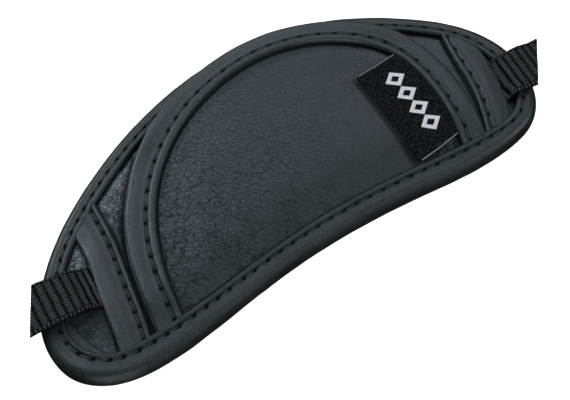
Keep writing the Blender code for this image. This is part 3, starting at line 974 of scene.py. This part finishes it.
def label_cloth():
    """Black cloth with a soft twill and a fuzz of fibres."""
    m = Material("woven_label", "woven_label")
    twill = m.weave(0.70 * MM)
    fuzz = m.noise(0.38 * MM, 3.0).remap(0.38, 0.62)
    cloth = twill * 0.4 + fuzz * 0.6
    return m.finish(m.ramp(cloth, [(0.45, (0.0001, 0.0002, 0.0003)),
                                   (0.85, (0.0310, 0.0335, 0.0345))]),
                    0.72, m.bump(cloth, 0.25 * MM), Specular_IOR_Level=0.04)


def motif_thread():
    """Light satin thread."""
    m = Material("motif_thread", "woven_label")
    satin = m.weave(0.36 * MM)
    return m.finish(m.ramp(satin, [(0.1, (0.36, 0.37, 0.40)), (0.7, (0.72, 0.73, 0.76))]),
                    0.6, m.bump(satin, 0.05 * MM))


def backing():
    """Brushed cloth."""
    m = Material("brushed_backing", "backing")
    fuzz = m.noise(0.35 * MM, 4.0)
    patches = m.noise(6.0 * MM, 3.0)
    mix = fuzz * 0.6 + patches * 0.4
    return m.finish(m.ramp(mix, [(0.3, (0.008, 0.008, 0.009)), (0.7, (0.022, 0.022, 0.024))]),
                    0.92, m.bump(fuzz, 0.15 * MM), Sheen_Weight=0.25)


def make_materials():
    """Every finish of the strap."""
    dark = (0.009, 0.0108, 0.0116)
    # The last values of each leather give its painted light across the plan
    return {
        "smooth": leather("smooth_leather", "smooth_leather", (0.0116, 0.0129, 0.0137),
                          (0.0176, 0.0193, 0.0203), grain=0.55 * MM, grain_depth=0.05 * MM,
                          crack_depth=0.0, crack_shade=0.0, speckle=0.55, rough=0.44,
                          towards=(0.0, 1.0), painted_light=(-28 * MM, 32 * MM, -0.30, 0.45)),
        "grained": leather("grained_leather", "grained_leather", dark,
                           (0.0158, 0.0184, 0.0200), grain=0.70 * MM, grain_depth=0.06 * MM,
                           crack_depth=0.07 * MM, crack_shade=1.1, speckle=0.45, rough=0.42,
                           towards=(-0.6, 0.8), painted_light=(-16 * MM, 28 * MM, -0.14, 0.52)),
        # The front leather's colours are lighter than the grained leather's: painted light
        "wedge": leather("creased_leather_painted_light", "grained_leather", dark,
                         (0.0300, 0.0345, 0.0370), grain=0.70 * MM, grain_depth=0.04 * MM,
                         crack_depth=0.05 * MM, crack_shade=1.2, speckle=0.35, rough=0.38,
                         towards=(-0.6, 0.8), painted_light=(20 * MM, 36 * MM, -0.15, 0.84)),
        "thread": yarn("stitch_thread", "smooth_leather", 0.08 * MM, (0.018, 0.020, 0.022),
                       (0.055, 0.061, 0.066), 0.5),
        "edge": yarn("label_edge_thread", "woven_label", 0.12 * MM, (0.10, 0.105, 0.11),
                     (0.26, 0.27, 0.28), 0.6),
        "nylon": nylon(),
        "label": label_cloth(),
        "motif": motif_thread(),
        "backing": backing(),
    }


def sewn(grid, closed, line, pitch, seed, still=()):
    """Leather with soft folds, pulled in at the needle holes and puckered between them, and the
    painted shade in the holes and along the thread's groove. The holes are wider on the left;
    still columns of the grid keep their place."""
    normals = grid_normals(grid, closed)
    normals[:, list(still)] = 0
    folds = uneven(grid.reshape(-1, 3), FOLD_SIZE, seed, FOLD_DEPTH)
    grid = grid + normals * folds.reshape(*grid.shape[:2], 1)
    ends = stitch_ends(line, pitch)
    slots = np.linspace(-0.5, 0.5, 4) * HOLE_LENGTH
    holes = along_line(line, (ends[:, None] + slots).ravel())
    radius = HOLE_RADIUS * (1.65 - 0.70 * ease(grid[..., 0], -50 * MM, 10 * MM))
    pull = dimples(grid, holes, radius)
    pucker = uneven(grid.reshape(-1, 3), 2.4 * MM, seed + 2, 0.7, 2).reshape(pull.shape)
    sunk = (HOLE_DEPTH * pull
            + PUCKER * dimples(grid, holes, PUCKER_REACH * radius) * (1 + pucker))
    thread = dimples(grid, along_line(line, np.arange(0, ends[-1], 0.3 * MM)), 0.38 * MM)
    # Painted shade in the needle holes and along the thread's groove
    shade = np.maximum(np.minimum(1.3 * pull, 1.0), 0.85 * thread)
    return grid - normals * sunk[..., None], shade


def edge_shade(section, under):
    """Painted shading across a strip: painted highlight along its rolled free edge, painted shade
    at the foot of its lip, which ends where the given number of spots of its underside begin."""
    band, lip, thick, _ = np.array(section).T
    # Painted highlight along the rolled free edge
    light = hill(band, 0.10) * ease(thick, 0.05, 0.35) * (lip < 0.01)
    foot = 0.85 * np.clip((np.arange(len(section)) - len(section) + under + 6) / 4, 0, 1)
    return (foot - light)[None]


def build_rim(webbing, made):
    """Leather folded round the rim, in one closed loop, with the webbing's painted shadow beside
    it.
    """
    outer = [Spot(1, FLAP_REACH, 0, 0.10 * MM), Spot(0.9, 0, 0, 0)]
    outer += rolled_edge(0.60, -80) + stitched_lip()
    under = [Spot(1, 1, 1, LIP_RISE - EDGE_WALL), Spot(1, LIP_STEP, 1, -EDGE_WALL),
             Spot(SLOT_START, 0, 0, EDGE_WALL), Spot(1, FLAP_REACH, 0, EDGE_WALL)]
    section = smooth_section(outer, 54) + under
    # The flap and the underside keep their place
    still = [*range(13), *range(54, len(section))]
    grid = np.stack([np.column_stack([RIM.shifted(spot.band * RIM.band + spot.lip * EDGE_LIP),
                                      spot.thick * RIM.thick + spot.lift])
                     for spot in section], axis=1)
    line = np.column_stack([RIM.shifted(RIM.band + STITCH_PLACE * EDGE_LIP),
                            RIM.thick - GROOVE_DEPTH])
    line = np.vstack([line, line[:1]])
    grid, shade = sewn(grid, True, line, RIM_PITCH, 3, still)
    # Painted shade at the lip's foot, weaker on the upper side, and the webbing's painted shadow
    weaker = 1 - 0.6 * ease(grid[..., 1], 0, 20 * MM)
    shade = np.maximum(shade, edge_shade(section, len(under)) * weaker)
    shade += 0.7 * webbing.shadow(grid[..., :2]) * ease(grid[..., 2], 0.9 * MM, 3.9 * MM)
    add_loft("rim_binding", grid, True, made["smooth"], ["edge_binding"],
             np.minimum(shade, 1.0))
    return line


def build_strip(name, strip, section, height, floor, stations, made, node, seed):
    """A stitched leather strip across the pad, and its stitch line."""
    grid = strip_grid(strip, section, height, floor, stations, STRIP_TUCK)
    seat = Spot(1, STITCH_PLACE, 1, -GROOVE_DEPTH)
    line = strip_grid(strip, [seat], height, floor, stations, 0.0)[:, 0]
    grid, pull = sewn(grid, False, line, strip.pitch, seed)
    shade = edge_shade(section, 1)
    # Towards the right the painted shade at the lip's foot turns into painted light
    shade = shade * (1 - 1.3 * ease(grid[..., 0], 0, 50 * MM) * (shade > 0))
    # Painted shade in the needle holes and along the thread, with the painted shading across the
    # strip
    add_loft(name, grid, False, made["smooth"], [node],
             np.where(pull > 0.05, np.maximum(pull, shade), shade))
    return line


def build_arch(made):
    """Leather folded round the half moon's arch."""
    outer = [Spot(0.10, 0, 0, -SINK)] + rolled_edge(0.20, -50)
    outer += [Spot(0.54, 0, 1, 0.10 * MM)] + stitched_lip()
    section = smooth_section(outer, 46) + [Spot(1, 1, 1, LIP_RISE - ARCH_WALL - SINK)]
    return build_strip("arch_leather", ARCH_EDGE, section, arch_thick, moon_floor, 800, made,
                       "arch_binding", 11)


def build_end_band(name, strip, webbing, made, node, seed):
    """Leather strip across one end, lifted where the webbing passes under it."""
    outer = [Spot(0.06, 0, 0, -SINK)] + rolled_edge(0.15, -50)
    outer += [Spot(0.40, 0, 1, 0.12 * MM), Spot(0.62, 0, 1, 0.12 * MM)] + stitched_lip()
    section = smooth_section(outer, 44) + [Spot(1, 1, 0, -SINK)]
    return build_strip(name, strip, section, lambda place: np.full(len(place.spots), END_THICK),
                       lambda place: front_top(place) + GAP + webbing.bulge(place), 230, made,
                       node, seed)


def between(upper, lower, columns, rows):
    """Plan grid between two lines that start and end together."""
    top, low = [read_rows(line, np.linspace(0, len(line) - 1, columns))
                for line in (upper, lower)]
    share = np.linspace(0.0, 1.0, rows)[None, :, None]
    return top[:, None] * (1 - share) + low[:, None] * share


def pad_plan(inset, stations, columns, rows):
    """Plan grid over the whole pad inside an inset from its outline."""
    ring = read_rows(RIM.shifted(inset), np.linspace(0, DENSE, stations, endpoint=False))
    ring = np.roll(ring, -int(ring[:, 0].argmin()), 0)
    right = int(ring[:, 0].argmax())
    upper = np.vstack([ring[right:], ring[:1]])[::-1]
    return between(upper, ring[:right + 1], columns, rows)


def moon_relief(place, seam, left_foot):
    """Heights of the half moon's creases, and the painted shade in them and along its seams:
    cells stretched across the picture round its left foot, which fade to a fine grain towards the
    right."""
    turn = math.radians(AZIMUTH)
    aside = place.spots @ (math.cos(turn), math.sin(turn))
    upward = place.spots @ (-math.sin(turn), math.cos(turn))

    def net(wide, tall, seed, line):
        return cracks(np.column_stack([aside / wide, upward / tall]), seed, line)

    def within(centre, far, near):
        return ease(np.hypot(*(place.spots - centre).T), far, near)

    long = net(3.4 * MM, 1.5 * MM, 21, 0.22)
    long *= ease(0.65 + 1.2 * wave_noise(place.spots / (3.5 * MM), 37))
    finer = net(1.8 * MM, 1.1 * MM, 31, 0.26)
    near = within(left_foot, 67.5 * MM, 17.5 * MM)
    lines = (LONG_CREASE * long * (0.10 + 0.90 * near)
             + FINE_CREASE * finer * (0.25 + 0.75 * near))
    lines *= 0.75 + 0.6 * np.exp(-seam / (5 * MM))
    foot = within(RIGHT_FOOT, 13.5 * MM, 4.5 * MM)
    lines += FOOT_CREASE * foot * creases(place.spots / (2.6 * MM), 61, 0.2)
    # Painted shade in the creases and along the seams under the lips
    shade = lines / CREASE_SHADE_DEPTH + ease(seam, 0.9 * MM, 0.3 * MM)
    return uneven(place.spots, 11 * MM, 51, 0.09 * MM) - lines, np.clip(shade, 0.0, 1.0)


def build_half_moon(made):
    """Padded half moon: a crowned leather sheet held under both lips."""
    edge = ARCH_EDGE.shifted(TUCK - ARCH_EDGE.reach)
    inside = np.nonzero(Place(edge).clear > -TUCK)[0]
    upper = edge[inside[0]:inside[-1] + 1]
    feet = RIM.locate(upper[[0, -1]])[1]
    lower = read_rows(RIM.shifted(RIM.inner - TUCK), np.linspace(*feet, 600))
    plan = between(upper, lower, columns=430, rows=180)
    place = Place(plan.reshape(-1, 2))
    seam = np.maximum(np.minimum(place.inside, place.clear), 0)
    # Creases are deepest round a point just inside the left foot
    left_foot = upper[0] + (lower[60] - lower[0]) * 0.02
    folds, shade = moon_relief(place, seam, left_foot)
    top = moon_top(place) + folds - SEAM_DEPTH * hill(seam, SEAM_REACH)
    # Painted shade of the creases and seams, with the label fold's painted shadow
    piece = add_sheet("half_moon_leather", plan, top, 0.7 * MM, made["grained"],
                      ["half_moon_panel"], np.maximum(shade, label_shadow(place.spots)))


def slit(place, bands):
    """Distance from the front leather's points to the nearest piece on it, the share by which
    the leather sinks in the narrow slits beside the arch, and 1 between the bands."""
    sink = np.zeros(len(place.spots))
    open_between = np.ones(len(place.spots))
    seam = np.minimum(place.clear, place.outside)
    for band in bands:
        side, at = band.locate(place.spots)
        beyond = -side - read_rows(band.reach, at)
        seam = np.minimum(seam, np.where(side > 0, side, beyond))
        open_between[beyond < 0] = 0
        gap = np.maximum(place.outside, 0) + np.maximum(beyond, 0)
        near = ease(place.outside, -MM, 0) * ease(beyond, -MM, 0)
        sink = np.maximum(sink, near * ease(gap, 6.25 * MM, 1.25 * MM))
    return np.maximum(seam, 0), sink, open_between


def build_front(bands, webbing, made):
    """Grained leather over the foam, seen beside the arch, with painted shade in its cracks,
    creases, slits and seams, and the webbing's painted shadow.
    """
    plan = pad_plan(RIM.inner - TUCK, stations=720, columns=420, rows=170)
    flat = plan.reshape(-1, 2)
    along = flat[:, 0]
    place = Place(flat)
    seam, sunk, open_between = slit(place, bands)
    sunk *= 0.2 + 0.8 * ease(along, 20 * MM, -10 * MM)
    crease = 1.0 - 0.6 * ease(along, 0, 50 * MM)
    fade = 0.1 + 0.9 * ease(along, 20 * MM, -40 * MM)
    cells = fade * cracks(flat / (1.7 * MM), 61, 0.17)
    lines = fade * creases(flat / (2.9 * MM), 71, 0.12)
    # Painted shade in the cracks, creases, slits and seams, and the webbing's painted shadow
    shade = (0.55 * cells + 0.8 * lines + 0.45 * sunk
             + crease * ease(seam, 0.6 * MM, 0.2 * MM) + 0.8 * webbing.shadow(flat))
    top = front_top(place) + uneven(flat, 8 * MM, 81, 0.12 * MM)
    top -= 0.05 * MM * cells + 0.12 * MM * lines + SLIT_DEPTH * sunk
    top += WEDGE_SWELL * open_between * ease(seam, 0, 2.2 * MM) * ease(along, 0, -20 * MM)
    top -= SEAM_DEPTH * crease * hill(seam, SEAM_REACH)
    add_sheet("pad_leather", plan, top, 0.6 * MM, made["wedge"], ["front_leather"],
              np.clip(shade, 0.0, 1.0))


def build_back(made):
    """Brushed backing cloth over the foam, seen from underneath and lower away from its rim."""
    inset = RIM.band + FLAP_REACH * EDGE_LIP - GAP
    plan = pad_plan(inset, stations=480, columns=260, rows=100)
    flat = plan.reshape(-1, 2)
    depth = np.maximum(Place(flat).clear + TUCK, 0)
    low = 0.05 * MM + 0.35 * MM * np.exp(-depth / (1.5 * MM))
    low += np.abs(uneven(flat, 5 * MM, 91, 0.06 * MM))
    piece = add_sheet("backing_cloth", plan, low, -2.4 * MM, made["backing"], ["back_pad"])


def build_patch(webbing, made):
    """Smooth leather segment in the lower left corner, with a folded free edge and the webbing's
    painted shadow on it.
    """
    edge = Curve(PATCH_EDGE)
    below = webbing.local(edge.points)[1] < 0.6 * MM - WEB_WIDTH / 2
    free = edge.points[(Place(edge.points).clear > -PATCH_TUCK) & below]
    start, stop = RIM.locate(free[[0, -1]])[1]
    if start > stop:
        start -= DENSE
    ring = RIM.shifted(RIM.inner - PATCH_TUCK)
    held = read_rows(ring, np.linspace(start, stop, 80))
    plan = between(free, held, columns=110, rows=60)
    flat = plan.reshape(-1, 2)
    inward = np.hypot(*(plan - plan[:, :1]).reshape(-1, 2).T)
    rolled = np.sqrt(1.0 - (1.0 - np.clip(inward / (0.9 * MM), 0, 1))**2)
    crown = np.tile(np.sin(np.pi * np.linspace(0, 1, plan.shape[1])), len(plan))
    top = front_top(Place(flat)) + GAP + PATCH_THICK * rolled + 0.35 * MM * crown
    # The webbing's painted shadow on the patch
    add_sheet("corner_leather", plan, top + uneven(flat, 6 * MM, 101, 0.08 * MM, 2), 0.4 * MM,
              made["smooth"], ["corner_patch"], 0.7 * webbing.shadow(flat))


def ribs_to(web, run):
    """Number of ribs from the mouth to a place along the webbing."""
    closer = (1 / web.near - 1 / web.far) * RIB_EASE
    return run / web.far + closer * (1 - np.exp(-np.maximum(run, 0.0) / RIB_EASE))


def webbing_face(webbing, face, columns, seed):
    """One face of the webbing, 1 the top and -1 the underside: its points, with a rib for each
    weft, a bump on it for each warp thread and a looped hem, and the painted shade between them,
    with painted light on the ribs at the mouth."""
    web = webbing.web
    stations = round((web.tail + WEB_HELD) / WEB_STEP)
    turns = np.linspace(-1, 1, columns)
    side = 0.5 * np.sign(turns) * np.abs(turns)**0.92
    edge = np.abs(side * 2)[None]
    hem = ease(edge, SELVEDGE, SELVEDGE + 0.03)
    share = np.linspace(0.0, 1.0, stations)[:, None]
    reach = web.tail + web.lean * 2 * side * (WEB_WIDTH + WEB_FLARE) * webbing.along[0]
    run = -WEB_HELD + share * (reach + WEB_HELD)[None]

    sway = RIB_SWAY * wave_noise(np.column_stack([side * 5, side * 0 + seed]), seed)[None]
    rib = ribs_to(web, run) + sway + (0.5 if face < 0 else 0.0)
    number = np.floor(rib)
    within = rib - number - 0.5
    away = np.abs(2 * within)
    cleft = ease(away, 0.52, 0.86)
    twice = 2 * (2 * rib - np.floor(2 * rib)) - 1
    knot = np.sqrt(np.clip(1 - twice**2 - ((edge - 0.93) / 0.08)**2, 0.0, 1.0))

    def chance(numbers, seed):
        cells = np.column_stack([number.ravel(), numbers.ravel()])
        return hashed(cells, seed).reshape(number.shape)

    slip = 0.35 * (chance(number * 0, seed) - 0.5)
    thread = side[None] * THREADS + THREAD_LEAN * within + slip
    bead = np.floor(thread)
    beside = np.abs(2 * (thread - bead) - 1)
    hole = cleft * ease(beside, 0.34, 0.80)

    scallop = SCALLOP * (np.sqrt(np.clip(1 - away**2.4, 0.0, 1.0)) - 0.6)
    scallop = scallop * ease(edge, 0.80, 1.0) * np.sign(side)[None]
    across = side[None] * (WEB_WIDTH + WEB_FLARE * share - 0.2 * MM) + scallop
    spots = webbing.mouth + run[..., None] * webbing.along + across[..., None] * webbing.across
    low = webbing.floor(Place(spots.reshape(-1, 2))).reshape(number.shape)

    bump = (0.30 - 0.26 * away**2.5 - 0.22 * beside**2 - 0.62 * hole
            - 0.16 * chance(bead, seed + 3))
    bump = MM * (bump * (1 - hem) + (0.75 * knot - 0.30) * hem)
    rounding = np.sqrt(np.clip(1.0 - edge**12, 0.0, 1.0))
    half = WEB_THICK / 2
    rise = rounding * (half + bump * (1.0 if face > 0 else 0.7))
    rise = np.maximum(rise, 0.02 * MM * rounding)

    # Painted shade in the clefts, the holes between threads and between the hem's loops; at the
    # mouth darker clefts and painted light on the ribs
    mouth = ease(run, 6 * MM, 0) * (0.75 * cleft - 0.15)
    gap = (0.30 * away**2.5 + 0.55 * beside**2 + hole + mouth) * (1 - hem)
    gap = np.clip(gap + 0.9 * (1 - knot) * hem, 0.0, 1.0)
    return np.dstack([spots, low + half + face * rise])[:, ::face], gap[:, ::face]


def build_webbing(name, webbing, made, node, seed):
    """Ribbed webbing, coarser underneath."""
    faces = [webbing_face(webbing, face, columns, seed) for face, columns in ((1, 132), (-1, 72))]
    grid, relief = [np.concatenate(parts, axis=1) for parts in zip(*faces)]
    add_loft(name, grid, False, made["nylon"], [node], relief)


def label_frame():
    """Level of the label's foot, its left edge, and the arch's lip to its right, upwards."""
    lip = ARCH_EDGE.shifted(-ARCH_EDGE.reach - GAP)
    lip = lip[lip[:, 1].argmax():][::-1]
    clear = Place(lip).clear
    rising = slice(0, clear.argmax() + 1)
    foot = np.interp(LABEL_CLEAR, clear[rising], lip[rising, 1])
    left = np.interp(foot, lip[:, 1], lip[:, 0]) - LABEL_WIDTH
    return foot, left, lip


def label_shadow(spots):
    """Painted shadow of the label's lifted fold on the half moon."""
    foot, left, _ = label_frame()
    low = 1.0 - (spots[:, 1] - foot) / LABEL_LENGTH
    beside = left - (LEAN[0] + LEAN[1] * np.clip(low, 0.0, 1.0)) - spots[:, 0]
    within = ease(low, -1 / 16, 1 / 16) * ease(low, 17 / 16, 15 / 16)
    return 0.95 * within * ease(np.abs(beside), 1.875 * MM, 0.375 * MM)


def label_top(spots, foot, left, width):
    """Height of the label's face over plan points; its fold lifts most near its foot."""
    low = ease(spots[:, 1], foot + LABEL_LENGTH, foot)
    lift = (LABEL_LIFT + FOLD_LIFT * low) * ease(spots[:, 0], left + LIFT_REACH * width, left)
    sag = uneven(spots, 7 * MM, 121, 0.10 * MM, 2)
    return moon_top(Place(spots)) + GAP + lift + LABEL_THICK + sag


def build_label(made):
    """Folded woven label: two layers joined at its left edge, its right side under the arch's
    lip, with a light thread along both cut edges and a woven band of lozenges. Its top and
    bottom lie a little aslant."""
    foot, left, lip = label_frame()
    rows = 150
    levels = np.linspace(foot, foot + LABEL_LENGTH, rows)
    low = np.linspace(1.0, 0.0, rows)
    right = np.interp(levels, lip[:, 1], lip[:, 0]) + 0.5 * MM
    width = right.max() - left
    wobble = uneven(np.column_stack([levels, levels * 0]), 5 * MM, 111, 0.16 * MM, 2)
    outer = LABEL_THICK / 2

    def fold(radius, stops, turns):
        """Section of a folded surface, from its right side on top round to it underneath."""
        flat = [left + outer + (right - left - outer) * share + wobble * (1 - share)
                for share in np.linspace(1, 0, stops)]
        bend = np.radians(np.linspace(0, 180, turns)[1:-1])
        return ([(x, radius - outer) for x in flat]
                + [(left + outer - radius * math.sin(turn) + wobble,
                    radius * math.cos(turn) - outer) for turn in bend]
                + [(x, -radius - outer) for x in reversed(flat)])

    lines = []
    for x, drop in fold(outer, 60, 9) + fold(outer - LABEL_LAYER, 30, 7)[::-1]:
        shift = (x - left) / width
        spots = np.column_stack([x - (LEAN[0] + LEAN[1] * low) * (1 - shift),
                                 levels + (TILT[0] + TILT[1] * low) * shift - 0.2 * MM])
        lines.append(np.column_stack([spots, label_top(spots, foot, left, width) + drop]))
    grid = np.stack(lines, axis=1)
    piece = add_loft("label_cloth", grid, False, made["label"], ["label"])
    threads = add_tubes("label_edge_threads", [
        round_thread(grid[0, :58] + (0, -0.05 * MM, 0.02 * MM), 0.17 * MM),
        round_thread(grid[-1, :58] + (0, 0.05 * MM, 0), 0.11 * MM)], made["edge"])
    motif = build_motif(foot, left, width, made)
    2 * width


def build_motif(foot, left, width, made):
    """A column of plain woven lozenges, raised a little from the label's face."""
    corners = np.array([(0, 1), (1, 0), (0, -1), (-1, 0), (0, 1)], float)
    outline = read_rows(corners, np.linspace(0, 4, 56, endpoint=False))
    outline = outline * (LOZENGE_WIDE, LOZENGE_TALL / 2)
    rings = [(1.0, -0.10 * MM), (0.97, 0.07 * MM), (0.86, 0.11 * MM), (0.70, 0.11 * MM),
             (LOZENGE_STROKE + 0.03, 0.07 * MM), (LOZENGE_STROKE, -0.10 * MM)]
    points = []
    faces = []
    for k in range(LOZENGES):
        centre = (left + LOZENGE_ASIDE, foot + LOZENGE_FOOT + k * LOZENGE_STEP)
        faces += grid_faces(len(rings), len(outline), False, True, len(points))
        for scale, rise in rings:
            spots = outline * scale + centre
            top = label_top(spots, foot, left, width) + rise
            points += np.column_stack([spots, top]).tolist()
    return add_mesh("label_motif", points, faces, made["motif"])


def add_light(name, place, size, power):
    """A soft square light aimed at the strap."""
    light = bpy.data.lights.new(name, "AREA")
    light.shape = "SQUARE"
    light.size = size
    light.energy = power
    light.color = LIGHT_COLOUR
    made = bpy.data.objects.new(name, light)
    made.location = place
    made.rotation_mode = "QUATERNION"
    made.rotation_quaternion = (-place).to_track_quat("-Z", "Y")
    bpy.context.scene.collection.objects.link(made)


def build_floor():
    """Pale floor that shines as the photograph's white ground does, and lights nothing."""
    mesh = bpy.data.meshes.new("floor")
    corners = [(-1, -1), (1, -1), (1, 1), (-1, 1)]
    mesh.from_pydata([(x * FLOOR_HALF, y * FLOOR_HALF, 0) for x, y in corners], [],
                     [(0, 1, 2, 3)])
    white = bpy.data.materials.new("floor_white")
    white.use_nodes = True
    inputs = white.node_tree.nodes["Principled BSDF"].inputs
    for key, value in (("Base Color", (FLOOR_SHADE, FLOOR_SHADE, FLOOR_SHADE, 1)),
                       ("Emission Color", (1, 1, 1, 1)), ("Emission Strength", 1.0),
                       ("Roughness", 0.9), ("Specular IOR Level", 0.1)):
        inputs[key].default_value = value
    mesh.materials.append(white)
    floor = bpy.data.objects.new("floor", mesh)
    floor.location.z = -0.05 * MM
    bpy.context.scene.collection.objects.link(floor)
    floor.visible_diffuse = False
    floor.visible_glossy = False


def build_stage():
    """Pale floor, soft studio light and the photograph's camera."""
    build_floor()
    scene = bpy.context.scene
    world = bpy.data.worlds.new("studio")
    world.use_nodes = True
    world.node_tree.nodes["Background"].inputs["Color"].default_value = (1, 1, 1, 1)
    world.node_tree.nodes["Background"].inputs["Strength"].default_value = WORLD_LIGHT
    scene.world = world
    scene.view_settings.view_transform = "Standard"
    scene.view_settings.look = "None"

    turn = math.radians(AZIMUTH)
    tilt = math.radians(ELEVATION)
    back = Vector((math.sin(turn) * math.cos(tilt), -math.cos(turn) * math.cos(tilt),
                   math.sin(tilt)))
    right = Vector((math.cos(turn), math.sin(turn), 0))
    up = back.cross(right)
    for name, aside, high, near, size, power in LIGHTS:
        add_light(name, right * aside + up * high + back * near, size, power)

    lens = bpy.data.cameras.new("camera")
    lens.sensor_width = SENSOR
    lens.lens = PIXELS_PER_MM / MM * DISTANCE * SENSOR / PHOTO_WIDTH
    lens.clip_start = 0.01
    camera = bpy.data.objects.new("camera", lens)
    facing = Matrix((right, up, back)).transposed().to_4x4()
    camera.matrix_world = Matrix.Translation(Vector(AIM) + back * DISTANCE) @ facing
    scene.collection.objects.link(camera)
    scene.camera = camera


def main():
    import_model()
    build_stage()
    made = make_materials()
    left = Strip(LEFT_END, LEFT_END_BAND, END_LIP, LEFT_PITCH)
    right = Strip(RIGHT_END, RIGHT_END_BAND, END_LIP, RIGHT_PITCH)
    left_web = Webbing(LEFT_WEB, left)
    right_web = Webbing(RIGHT_WEB, right)
    build_back(made)
    build_front([left, right], left_web, made)
    build_half_moon(made)
    rim_line = build_rim(left_web, made)
    arch_line = build_arch(made)
    left_line = build_end_band("left_band_leather", left, left_web, made, "left_end_band", 15)
    right_line = build_end_band("right_band_leather", right, right_web, made,
                                "right_end_band", 17)
    build_patch(left_web, made)
    build_webbing("left_webbing_weave", left_web, made, "left_webbing", 131)
    build_webbing("right_webbing_weave", right_web, made, "right_webbing", 141)
    build_label(made)
    add_stitches("rim_stitches", [(rim_line, RIM_PITCH)], made["thread"])
    add_stitches("arch_stitches", [(arch_line, ARCH_PITCH)], made["thread"])
    add_stitches("band_stitches", [(left_line, LEFT_PITCH), (right_line, RIGHT_PITCH)],
                 made["thread"])


main()
